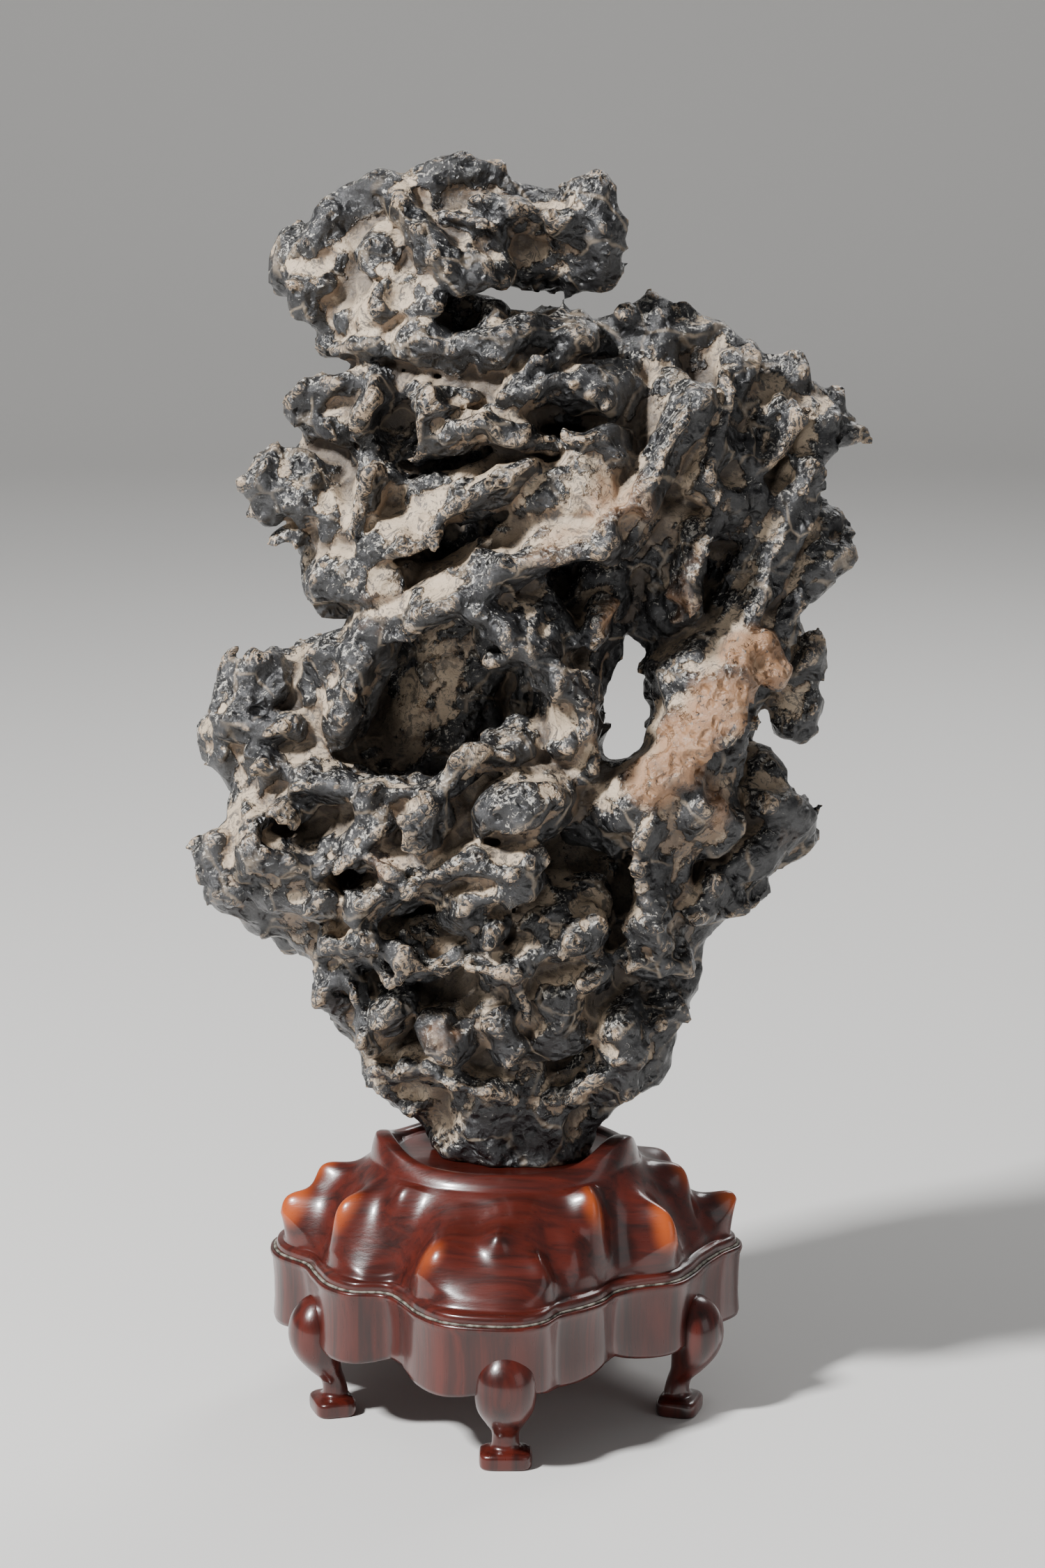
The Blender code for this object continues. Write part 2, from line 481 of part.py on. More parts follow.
def sunk(runs):
    """The hollows' runs pressed further in from whichever side they cut."""
    return [
        [(across, up, depth - math.copysign(HOLLOW_SINK, depth), radius) for across, up, depth, radius in run]
        for run in runs
    ]


def block(half, low, high):
    """A square block from one height to another, as points and faces."""
    verts = [(x, y, z) for x in (-half, half) for y in (-half, half) for z in (low, high)]
    faces = [(0, 1, 3, 2), (4, 6, 7, 5), (0, 4, 5, 1), (2, 3, 7, 6), (0, 2, 6, 4), (1, 5, 7, 3)]
    return verts, faces


def remesh(item, size):
    step = item.modifiers.new("Remesh", "REMESH")
    step.mode = "VOXEL"
    step.voxel_size = size * MM


def cut(item, cutter):
    step = item.modifiers.new("Cut", "BOOLEAN")
    step.operation = "DIFFERENCE"
    step.solver = "EXACT"
    step.object = cutter


def wear(item, kind, size, strength, level, guide):
    """Presses scoops or swells lumps into the surface, drawn out along the guide's own axes."""
    texture = bpy.data.textures.new(kind.lower(), kind)
    texture.noise_scale = size * MM
    if kind == "VORONOI":
        texture.distance_metric = "DISTANCE_SQUARED"
    step = item.modifiers.new("Wear", "DISPLACE")
    step.texture = texture
    step.texture_coords = "OBJECT"
    step.texture_coords_object = guide
    step.strength = strength * MM
    step.mid_level = level


def make_bedding(middle):
    """Empty along the stone's slant, which draws the worn scoops out lengthwise."""
    bedding = link(bpy.data.objects.new("bedding", None), middle)
    bedding.rotation_euler = (0.0, -BEDDING_SLANT, 0.0)
    bedding.scale = BEDDING_STRETCH
    return bedding


def make_stone(middle):
    """Masses joined, ridges grown out of them, hollows cut in, the surface worn and the base cut flat."""
    look = material("stone", STONE_COLOUR, 0.45)
    verts, faces = skins(MASSES)
    more_verts, more_faces = skins(RIDGES, [ball for run in placed(MASSES) for ball in run])
    faces += [[index + len(verts) for index in face] for face in more_faces]
    stone = add_object("stone", (verts + more_verts, faces), middle, look)
    hollows = make_cutter(add_object("hollows", skins(sunk(HOLLOWS)), middle))
    remesh(hollows, VOXEL)
    under = make_cutter(add_object("under", block(UNDER_HALF, UNDER_LOW, STONE_BASE), middle))
    bedding = make_bedding(middle)
    remesh(stone, VOXEL)
    cut(stone, hollows)
    remesh(stone, VOXEL)
    wear(stone, "VORONOI", SCOOP_SIZE, SCOOP_DEPTH, SCOOP_LEVEL, bedding)
    wear(stone, "CLOUDS", SWELL_SIZE, SWELL_RISE, SWELL_LEVEL, bedding)
    remesh(stone, VOXEL)
    thin = stone.modifiers.new("Decimate", "DECIMATE")
    thin.ratio = STONE_KEPT
    cut(stone, under)


def rim_at(degrees):
    """Distance of the stand's rim from its middle, as a smooth closed curve through the plan's points."""
    angles = np.array([point[0] for point in PLAN], float)
    radii = np.array([point[1] for point in PLAN], float)
    turn = (np.asarray(degrees, float) + 180.0) % 360.0 - 180.0
    last = len(angles)
    index = np.searchsorted(angles, turn, side="right") - 1
    ends = np.append(angles, angles[0] + 360.0)
    t = (turn - ends[index]) / (ends[index + 1] - ends[index])
    before, first, second, after = (radii[(index + shift) % last] for shift in (-1, 0, 1, 2))
    slope_in = 0.5 * (second - before)
    slope_out = 0.5 * (after - first)
    return (
        first * (2 * t**3 - 3 * t**2 + 1)
        + slope_in * (t**3 - 2 * t**2 + t)
        + second * (3 * t**2 - 2 * t**3)
        + slope_out * (t**3 - t**2)
    )


def ring(radii, ups, degrees):
    """Closed ring of points at the given distances and heights; 0 degrees is the front."""
    turn = np.radians(degrees)
    return np.stack([radii * np.sin(turn), -radii * np.cos(turn), ups + 0.0 * turn], axis=1)


def oval(half, degrees):
    """Distance to an ellipse's edge in each direction."""
    turn = np.radians(degrees)
    return 1.0 / np.sqrt((np.sin(turn) / half[0]) ** 2 + (np.cos(turn) / half[1]) ** 2)


def lip_height(degrees):
    """Top of the socket's lip: low in front, with an upturned leaf at each side and a low one behind."""
    height = LIP_FRONT + 0.0 * degrees
    for middle, width, rise in LEAVES:
        away = (degrees - middle + 180.0) % 360.0 - 180.0
        height += rise * np.exp(-((away / width) ** 2))
    return height


def carved(points):
    """Push of each point of the top's slope: knobs that lean outwards, less the valleys."""
    push = np.zeros_like(points)
    for bumps, lean, sign in ((KNOBS, KNOB_LEAN, 1.0), (VALLEYS, VALLEY_LEAN, -1.0)):
        for across, back, height, wide, deep in bumps:
            outward = np.array([across, back]) / math.hypot(across, back)
            off = points[:, :2] - np.array([across, back])
            along = off @ outward
            side = off @ np.array([-outward[1], outward[0]])
            bell = np.exp(-((along / deep) ** 2) - (side / wide) ** 2)
            towards = np.array([*(outward * lean), math.sqrt(1.0 - lean * lean)])
            push += sign * height * bell[:, None] * towards
    return push


def loft(rings, closed):
    """Faces between neighbouring rings; a closed loft joins its last ring to its first."""
    count = len(rings[0])
    pairs = list(zip(range(len(rings)), range(1, len(rings))))
    if closed:
        pairs.append((len(rings) - 1, 0))
    faces = []
    for low, high in pairs:
        for step in range(count):
            after = (step + 1) % count
            faces.append([low * count + step, low * count + after, high * count + after, high * count + step])
    if not closed:
        faces.append([step for step in reversed(range(count))])
        faces.append([(len(rings) - 1) * count + step for step in range(count)])
    return [tuple(point) for one in rings for point in one], faces


def make_top(middle, look):
    """Carved top: flat underside, rounded rim, a knobbed slope, and a lip round the stone's socket."""
    degrees = np.arange(TOP_STEPS) * 360.0 / TOP_STEPS
    rim = rim_at(degrees)
    collar = oval(COLLAR_HALF, degrees)
    lip = lip_height(degrees)
    rings = [ring(rim + out, PLATE_UNDER + rise, degrees) for out, rise in RIM_PROFILE]
    for share in SLOPE_SHARES:
        across = (rim - SLOPE_INSET) * (1.0 - share) + collar * share
        climb = SLOPE_STRAIGHT * share + (1.0 - SLOPE_STRAIGHT) * math.sin(0.5 * math.pi * share)
        points = ring(across, RIM_TOP + (LIP_FRONT - SLOPE_DROP - RIM_TOP) * climb, degrees)
        fade = min(1.0, share / FADE_OUTER) * min(1.0, (1.0 - share) / FADE_INNER)
        rings.append(points + carved(points) * fade)
    rings += [
        ring(collar, lip - COLLAR_DROP, degrees),
        ring(oval(LIP_HALF, degrees), lip, degrees),
        ring(oval(SOCKET_HALF, degrees) + LIP_BEVEL, lip - LIP_BEVEL, degrees),
        ring(oval(SOCKET_HALF, degrees), SOCKET_FLOOR, degrees),
    ]
    add_object("stand_top", loft(rings, closed=False), middle, look)


def edge_height(degrees):
    """Lower edge of the apron: high at each leg, with two drooping lobes between neighbouring legs."""
    stops = sorted(LEG_ANGLES.values())
    stops = np.array([*stops, stops[0] + 360.0])
    turn = (degrees - stops[0]) % 360.0 + stops[0]
    bay = np.clip(np.searchsorted(stops, turn, side="right") - 1, 0, len(stops) - 2)
    share = (turn - stops[bay]) / (stops[bay + 1] - stops[bay])
    lobes = np.abs(np.sin(2.0 * np.pi * share)) ** LOBE_ROUND
    return EDGE_HIGH - EDGE_DROP * np.maximum(lobes, LOBE_NECK * np.sin(np.pi * share))


def make_apron(middle, look, pockets):
    """Apron: a lobed wall under the top, with a shaped lower edge and a pocket for each leg."""
    degrees = np.arange(APRON_STEPS) * 360.0 / APRON_STEPS
    rim = rim_at(degrees)
    edge = edge_height(degrees)
    wall = PLATE_UNDER - GAP - edge
    rings = [ring(rim + out, edge + wall * share + rise, degrees) for out, share, rise in APRON_PROFILE]
    apron = add_object("stand_apron", loft(rings, closed=True), middle, look)
    for pocket in pockets:
        cut(apron, pocket)


def leg_rings(radius, swell):
    """Level sections of a leg: a rounded square pad, a narrow ankle and an egg that stands on the apron."""
    turn = np.arange(LEG_STEPS) * 2.0 * np.pi / LEG_STEPS
    rings = []
    for up, wide, deep, out, square in LEG_SECTIONS:
        level = up + swell if up == LEG_SECTIONS[-1][0] else up
        if up == 0.0:
            level = -swell
        power = 2.0 / square
        across = (wide + swell) * np.sign(np.sin(turn)) * np.abs(np.sin(turn)) ** power
        back = -(radius + out) - (deep + swell) * np.sign(np.cos(turn)) * np.abs(np.cos(turn)) ** power
        rings.append(np.stack([across, back, level + 0.0 * turn], axis=1))
    return rings


def make_leg(name, degrees, middle, look):
    """A leg turned to its place round the stand, and a wider copy that cuts its pocket in the apron."""
    radius = LEG_RADIUS[degrees]
    leg = add_object(name, loft(leg_rings(radius, 0.0), closed=False), middle, look)
    pocket = add_object(f"{name}_pocket", loft(leg_rings(radius, GAP), closed=False), middle)
    for item in (leg, pocket):
        item.rotation_euler = (0.0, 0.0, math.radians(degrees))
    return make_cutter(pocket)


def make_stand(middle):
    look = material("hardwood", WOOD_COLOUR, 0.25)
    make_top(middle, look)
    pockets = [make_leg(name, degrees, middle, look) for name, degrees in LEG_ANGLES.items()]
    make_apron(middle, look, pockets)


clear_scene()
whole = make_middle()
make_stone(whole)
make_stand(whole)
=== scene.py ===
# %% [markdown]
# This scene dresses a scholar's stone and its carved stand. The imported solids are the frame: each finished
# piece takes the place of one solid and stays inside its box, so both agree about size and position.

# %% Load the frame
import math

import bmesh
import bpy
import numpy as np
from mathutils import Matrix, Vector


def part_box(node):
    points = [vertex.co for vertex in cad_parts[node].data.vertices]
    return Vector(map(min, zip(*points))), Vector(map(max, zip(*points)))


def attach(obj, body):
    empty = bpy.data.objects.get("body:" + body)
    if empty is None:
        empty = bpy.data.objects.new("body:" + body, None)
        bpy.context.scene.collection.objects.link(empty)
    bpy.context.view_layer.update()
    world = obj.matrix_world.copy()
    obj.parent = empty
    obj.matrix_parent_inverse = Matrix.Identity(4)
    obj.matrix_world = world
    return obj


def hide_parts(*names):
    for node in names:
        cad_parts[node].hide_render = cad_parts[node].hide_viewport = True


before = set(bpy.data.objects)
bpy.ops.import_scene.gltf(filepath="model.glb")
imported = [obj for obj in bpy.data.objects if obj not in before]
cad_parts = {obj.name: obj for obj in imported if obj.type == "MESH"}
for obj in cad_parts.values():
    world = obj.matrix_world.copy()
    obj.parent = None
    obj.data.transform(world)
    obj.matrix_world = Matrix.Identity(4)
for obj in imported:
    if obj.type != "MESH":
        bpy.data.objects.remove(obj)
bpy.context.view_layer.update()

MM = 0.001
print("nodes:", sorted(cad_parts))

# %% [markdown]
# The photograph was taken from the front and a little above, with a long lens. Forms are read off that front
# view as millimetres across and up, and each is then moved along the line of sight to its own depth.

# %% The line of sight
LENS = 100.0
SENSOR = 36.0
EYE_DISTANCE = 1875.0
EYE_PITCH = math.radians(12.0)
EYE_ACROSS = 7.2
AIM_UP = 275.7
AIM_READING = 296.1
STONE_ACROSS = 7.0
EYE = np.array([
    EYE_ACROSS, -EYE_DISTANCE * math.cos(EYE_PITCH), AIM_UP + EYE_DISTANCE * math.sin(EYE_PITCH)
])


def place(readings):
    """Readings (across, up, depth) in space: eye + (sheet - eye) * (depth - eye.y) / (sheet.y - eye.y)."""
    across, up, depth = np.asarray(readings, float).T
    rise = up - AIM_READING
    sheet = np.stack([across, rise * math.sin(EYE_PITCH), AIM_UP + rise * math.cos(EYE_PITCH)], axis=1)
    reach = (depth - EYE[1]) / (sheet[:, 1] - EYE[1])
    return EYE + (sheet - EYE) * reach[:, None]


def make_camera():
    """A 100 mm lens on a 36 mm frame, level across and looking 12 degrees down."""
    data = bpy.data.cameras.new("camera")
    data.lens = LENS
    data.sensor_width = SENSOR
    data.sensor_height = SENSOR
    camera = bpy.data.objects.new("camera", data)
    camera.location = (EYE - np.array([STONE_ACROSS, 0.0, 0.0])) * MM
    camera.rotation_euler = (math.radians(90.0) - EYE_PITCH, 0.0, 0.0)
    bpy.context.scene.collection.objects.link(camera)
    bpy.context.scene.camera = camera
    return camera


print("camera at", tuple(round(value, 3) for value in make_camera().location))

# %% [markdown]
# The stone is one block of limestone that water and acid soil ate away. What is left follows three kinds of
# form: thick masses, ridges that grow out of them along the slanting bedding, and hollows eaten in between.
# Each form is a run of balls whose neighbours share one skin, and a ridge also widens inwards to a root.

# %% Forms of the stone
MASSES = [
    # foot and lower body
    [(0, 147, 1, 32), (0, 165, 0, 35), (-4, 200, 2, 38), (-8, 240, 6, 42), (-12, 280, 8, 42)],
    [(0, 147, 1, 32), (25, 148, -2, 15), (43, 164, -8, 12)],
    [(-30, 153, 4, 13), (-40, 176, 4, 22), (-54, 204, 4, 25), (-66, 238, 4, 28), (-96, 258, 0, 24),
     (-112, 262, -4, 20)],
    [(-92, 232, 18, 11), (-104, 241, 14, 11), (-118, 258, 6, 14)],
    [(43, 164, -8, 12), (46, 169, -6, 15), (54, 184, -2, 23), (56, 202, 0, 26), (60, 238, 0, 30),
     (84, 264, 2, 28)],
    [(30, 215, 0, 30), (26, 255, 4, 34), (22, 285, 2, 28)],
    # middle
    [(-12, 280, 8, 42), (-22, 325, 18, 38), (-18, 350, 18, 38), (0, 388, 10, 40)],
    [(14, 290, -4, 26), (16, 330, -8, 18), (22, 368, -8, 24)],
    [(-56, 290, 4, 30), (-78, 312, 8, 26), (-78, 330, 8, 28), (-100, 332, 6, 22), (-116, 318, 2, 17)],
    [(-78, 300, 4, 26), (-106, 305, 2, 20)],
    # right of the hole
    [(88, 262, 4, 28), (80, 294, 12, 18), (88, 318, 12, 15), (104, 345, 8, 19), (98, 370, 8, 24)],
    [(120, 280, -4, 10), (108, 286, -6, 12)],
    [(126, 332, 8, 13), (122, 322, 8, 11), (124, 348, 4, 14)],
    # upper body
    [(0, 388, 10, 40), (6, 428, 8, 38), (-4, 462, 6, 30)],
    [(-40, 390, 8, 34), (-46, 425, 6, 34), (-42, 455, 6, 32), (-44, 485, 8, 22)],
    [(-74, 385, 0, 16), (-74, 420, 0, 22), (-72, 452, 2, 17)],
    [(44, 392, 4, 36), (52, 425, 2, 38), (60, 462, 4, 30), (68, 490, 2, 14)],
    [(96, 385, 4, 26), (108, 420, 2, 26), (104, 456, 2, 24), (120, 462, 0, 15)],
    [(-2, 484, 2, 18), (26, 482, 2, 18), (56, 488, 2, 16)],
    [(-32, 498, 4, 16), (-8, 496, 4, 14)],
    [(50, 395, -8, 24), (66, 374, -16, 19), (78, 356, -10, 15)],
    # cap
    [(-44, 485, 8, 24), (-52, 508, 8, 24), (-34, 530, 4, 25), (-6, 535, 2, 22), (20, 530, -2, 14)],
    [(-52, 508, 8, 24), (-72, 522, 6, 18), (-84, 516, 2, 13)],
]
RIDGES = [
    # cap
    [(-36, 556, -6, 8), (-27, 561, -6, 8), (-14, 561.5, -6, 8), (-3, 558, -4, 8), (6, 550, -4, 8),
     (19, 544, -6, 9)],
    [(-66, 549, -4, 9), (-54, 555, -6, 8), (-48, 551, -10, 7)],
    [(-74, 540, -4, 11), (-84, 526, -6, 9), (-89, 511, -6, 9)],
    [(-91, 509, -10, 7), (-82, 498, -8, 8), (-72, 490, -4, 10)],
    [(37, 547, -16, 11), (40, 535, -20, 13), (42, 520, -16, 11)],
    [(46, 540, -14, 7), (45, 527, -20, 8)],
    [(28, 519, -12, 8), (8, 523, -12, 10), (-15, 519, -12, 12), (-36, 515, -12, 12)],
    [(-47, 548, -28, 6), (-42, 538, -38, 6), (-30, 524, -44, 7), (-18, 513, -42, 7), (-4, 514, -36, 7)],
    [(-22, 541, -32, 5), (-12, 537, -36, 6), (-8, 526, -38, 7), (-12, 516, -40, 8)],
    [(-12, 548, -28, 6), (4, 544, -30, 6), (18, 539, -28, 7), (30, 534, -26, 8)],
    [(-56, 521, -30, 8), (-56, 521, -20, 12)],
    [(-90, 514, -12, 9), (-80, 512, -8, 10)],
    # neck and top of the body
    [(-52, 502, -34, 11), (-32, 504, -36, 8)],
    [(-60, 498, -28, 9), (-74, 496, -18, 6)],
    [(-58, 486, -28, 9), (-73, 481, -18, 6)],
    [(-7, 500, -30, 8), (-7, 490, -32, 12)],
    [(-42, 488, -42, 7), (-26, 484, -47, 7), (-20, 489, -47, 6), (-4, 485, -48, 8), (12, 489, -44, 8),
     (30, 488, -40, 9)],
    [(52, 496, -8, 9), (60, 500, -2, 8), (76, 500, 0, 8), (90, 487, 0, 9), (104, 481, 0, 9),
     (118, 476, 0, 8), (134, 461, 0, 8), (144, 449, 0, 8)],
    [(120, 470, -4, 8), (128, 471, -10, 6)],
    [(144, 449, 0, 8), (154, 445, -4, 5)],
    [(-6, 478, -42, 6), (-6, 480, -30, 10)],
    [(-95, 462, -18, 4.5), (-84, 468, -22, 7), (-70, 469, -22, 9), (-56, 472, -22, 12)],
    [(-101, 427, -24, 13), (-86, 420, -26, 12), (-70, 410, -28, 14)],
    [(-103, 417, -20, 9), (-92, 432, -24, 9)],
    [(-96, 403, -18, 7), (-84, 399, -20, 8), (-72, 400, -20, 12)],
    [(-82, 448, -10, 9), (-72, 452, -16, 12)],
    [(-57, 463, -46, 6), (-66, 452, -44, 5)],
    # fins
    [(-16, 461, -60, 4), (-30, 460, -62, 6), (-38, 450, -60, 6), (-44, 440, -57, 5)],
    [(-30, 458, -48, 10), (-36, 446, -46, 10)],
    [(-50, 438, -54, 4.5), (-40, 437, -57, 4.5)],
    [(-24, 446, -62, 5), (-8, 452, -65, 5), (0, 450, -65, 5), (10, 445, -63, 5), (21, 444, -61, 5)],
    [(0, 460, -58, 6), (10, 466, -58, 6), (25, 468, -54, 7), (40, 462, -50, 8)],
    [(15, 475, -52, 7), (20, 478, -44, 9)],
    [(-58, 430, -56, 5), (-66, 415, -52, 5), (-68, 404, -50, 6)],
    [(-28, 415, -67, 5), (-31, 402, -67, 5)],
    [(-52, 380, -48, 12), (-62, 385, -46, 13), (-76, 384, -34, 12)],
    [(-60, 396, -50, 8), (-44, 398, -56, 8), (-32, 400, -62, 6)],
    [(12, 433, -66, 5), (-5, 426, -69, 6), (-20, 420, -69, 6), (-28, 412, -67, 6)],
    # main ridge
    [(-60, 363, -52, 7), (-40, 367, -62, 8), (-20, 378, -69, 9), (0, 390, -73, 9), (18, 396, -73, 9),
     (40, 401, -71, 9), (55, 413, -67, 9), (62, 425, -63, 8), (72, 437, -58, 8), (84, 458, -50, 8)],
    [(16, 420, -50, 16), (34, 424, -50, 20), (42, 436, -48, 16)],
    [(24, 446, -62, 5), (42, 443, -61, 5), (52, 436, -60, 6)],
    # upper right
    [(94, 482, -20, 6), (103, 481, -20, 6), (108, 474, -22, 5)],
    [(95, 470, -36, 6), (99, 455, -40, 7), (92, 445, -44, 7), (86, 430, -48, 7), (95, 411, -48, 7),
     (88, 398, -50, 7), (80, 385, -52, 7), (78, 373, -52, 8)],
    [(126, 456, -28, 6), (112, 437, -34, 6)],
    [(140, 448, -12, 9), (131, 434, -22, 10), (126, 416, -28, 10), (119, 400, -32, 10), (111, 380, -36, 9),
     (105, 366, -40, 8)],
    [(152, 403, -10, 5.5), (146, 396, -14, 7), (138, 388, -20, 7), (128, 376, -26, 7), (119, 365, -30, 7)],
    [(146, 396, -6, 8), (130, 384, -8, 10)],
    [(134, 360, -8, 7), (128, 350, -6, 9), (130, 343, -2, 8)],
    [(112, 354, -40, 9), (114, 343, -40, 10)],
    [(125, 363, -26, 4.5), (120, 358, -24, 7)],
    # middle
    [(38, 368, -56, 8), (38, 348, -54, 7), (37, 325, -52, 6.5), (34, 304, -54, 8)],
    [(38, 368, -30, 12), (36, 348, -28, 10), (34, 325, -28, 9), (30, 304, -30, 12)],
    [(-15, 372, -67, 8), (0, 364, -73, 10), (11, 352, -73, 11), (22, 343, -71, 11), (31, 333, -69, 9),
     (33, 320, -67, 8), (27, 311, -66, 7)],
    [(-8, 351, -63, 6), (4, 352, -66, 8)],
    [(-4, 287, -68, 11), (8, 287, -71, 14), (15, 290, -69, 12)],
    [(54, 287, -54, 13), (68, 300, -52, 18), (82, 312, -50, 20), (92, 325, -48, 19), (98, 340, -45, 14),
     (104, 360, -40, 9)],
    [(66, 300, -34, 14), (82, 316, -32, 16), (95, 338, -28, 14)],
    [(85, 288, -56, 11), (78, 282, -56, 9)],
    [(67, 282, -61, 6), (62, 270, -63, 6), (60, 260, -64, 7), (66, 245, -62, 6)],
    [(62, 235, -60, 6), (68, 225, -56, 6), (65, 217, -54, 5)],
    [(83, 240, -46, 9), (90, 252, -42, 8), (98, 240, -30, 6)],
    [(108, 287, -30, 10), (121, 282, -16, 10), (102, 262, -30, 10), (110, 272, -14, 10)],
    [(26, 222, -62, 8), (33, 228, -65, 10), (40, 234, -63, 8)],
    [(17, 218, -63, 6), (10, 214, -60, 6)],
    [(18, 237, -64, 4.5), (24, 240, -60, 6)],
    # left middle
    [(-108, 340, -18, 15), (-116, 326, -14, 13)],
    [(-130, 325, -10, 4.5), (-115, 322, -30, 5), (-95, 321, -38, 6)],
    [(-131, 306, -6, 6), (-120, 306, -14, 9)],
    [(-105, 305, -38, 7), (-88, 301, -44, 8)],
    [(-65, 350, -50, 9), (-68, 335, -50, 9), (-72, 322, -46, 8)],
    [(-74, 352, -36, 12), (-80, 338, -34, 12)],
    [(-86, 350, -42, 4.5), (-80, 354, -34, 8)],
    [(-92, 296, -48, 5), (-78, 294, -52, 5), (-60, 293, -58, 6), (-40, 294, -62, 6)],
    [(-96, 286, -46, 6), (-91, 283, -50, 6)],
    [(-110, 279, -42, 5), (-104, 282, -38, 7)],
    [(-104, 266, -46, 10), (-94, 263, -50, 9), (-80, 262, -50, 9)],
    [(-131, 258, -26, 8), (-133, 272, -22, 8), (-126, 268, -26, 12), (-122, 256, -28, 10)],
    [(-117, 246, -38, 5), (-124, 250, -32, 6)],
    [(-98, 250, -36, 12), (-80, 248, -44, 13)],
    [(-76, 262, -56, 6), (-65, 266, -61, 6), (-58, 272, -63, 6), (-52, 279, -66, 6)],
    [(-50, 257, -67, 7), (-56, 264, -66, 6)],
    [(-38, 286, -72, 11), (-38, 276, -71, 11)],
    [(-28, 298, -69, 4.5), (-20, 305, -68, 4.5), (-11, 311, -68, 4.5), (0, 308, -68, 6)],
    [(-43, 250, -69, 6), (-31, 258, -73, 6), (-20, 262, -75, 7), (0, 258, -75, 7), (12, 264, -73, 7)],
    [(-20, 244, -73, 6), (0, 248, -75, 6), (12, 250, -72, 6)],
    [(-5, 235, -69, 5), (-8, 228, -66, 5)],
    [(-63, 245, -58, 7), (-52, 246, -64, 6)],
    [(-75, 228, -46, 7), (-60, 228, -54, 7), (-48, 222, -57, 6), (-40, 216, -58, 6)],
    [(-50, 211, -50, 6), (-56, 218, -48, 7)],
    # bottom
    [(-44, 212, -56, 5), (-30, 216, -60, 6), (-15, 218, -62, 6), (5, 213, -62, 6)],
    [(6, 207, -58, 5), (9, 194, -55, 6)],
    [(22, 205, -38, 18), (22, 192, -36, 16)],
    [(36, 207, -58, 4.5), (42, 214, -54, 6)],
    [(55, 216, -58, 6), (68, 215, -50, 6), (82, 216, -34, 6)],
    [(50, 192, -42, 12), (50, 182, -40, 11)],
    [(66, 195, -34, 9), (74, 200, -26, 8)],
    [(28, 160, -42, 5), (40, 168, -44, 6), (50, 172, -40, 6), (52, 166, -36, 6)],
    [(-2, 193, -50, 11), (2, 183, -48, 10)],
    [(-30, 187, -46, 12), (-26, 184, -48, 11)],
    [(-50, 195, -40, 9), (-46, 200, -44, 7)],
    [(-67, 206, -36, 4.5), (-63, 192, -36, 5), (-58, 179, -34, 5)],
    [(-77, 206, -24, 7), (-72, 204, -20, 10)],
    [(-58, 172, -24, 7), (-34, 172, -38, 6), (0, 164, -44, 6)],
    [(-56, 166, -16, 6), (-44, 158, -14, 8)],
    # back
    [(-84, 252, 42, 12), (-40, 270, 56, 13), (0, 298, 60, 13), (26, 316, 52, 11)],
    [(-96, 326, 30, 11), (-50, 350, 54, 13), (-10, 372, 60, 14), (30, 398, 58, 14), (66, 428, 50, 13),
     (100, 450, 30, 10)],
    [(-66, 400, 34, 12), (-20, 425, 54, 13), (20, 456, 48, 13), (58, 480, 34, 11)],
    [(-40, 200, 40, 11), (0, 225, 52, 12), (50, 250, 50, 12), (88, 272, 34, 11)],
    [(-62, 440, 34, 10), (-40, 470, 40, 11), (-10, 486, 28, 10)],
    [(86, 332, 34, 10), (108, 362, 28, 11), (122, 395, 22, 11), (132, 430, 12, 10)],
    [(-78, 516, 22, 8), (-50, 535, 32, 9), (-18, 548, 28, 9), (16, 540, 18, 8)],
    [(-20, 170, 38, 10), (20, 178, 40, 11), (54, 200, 26, 10)],
]
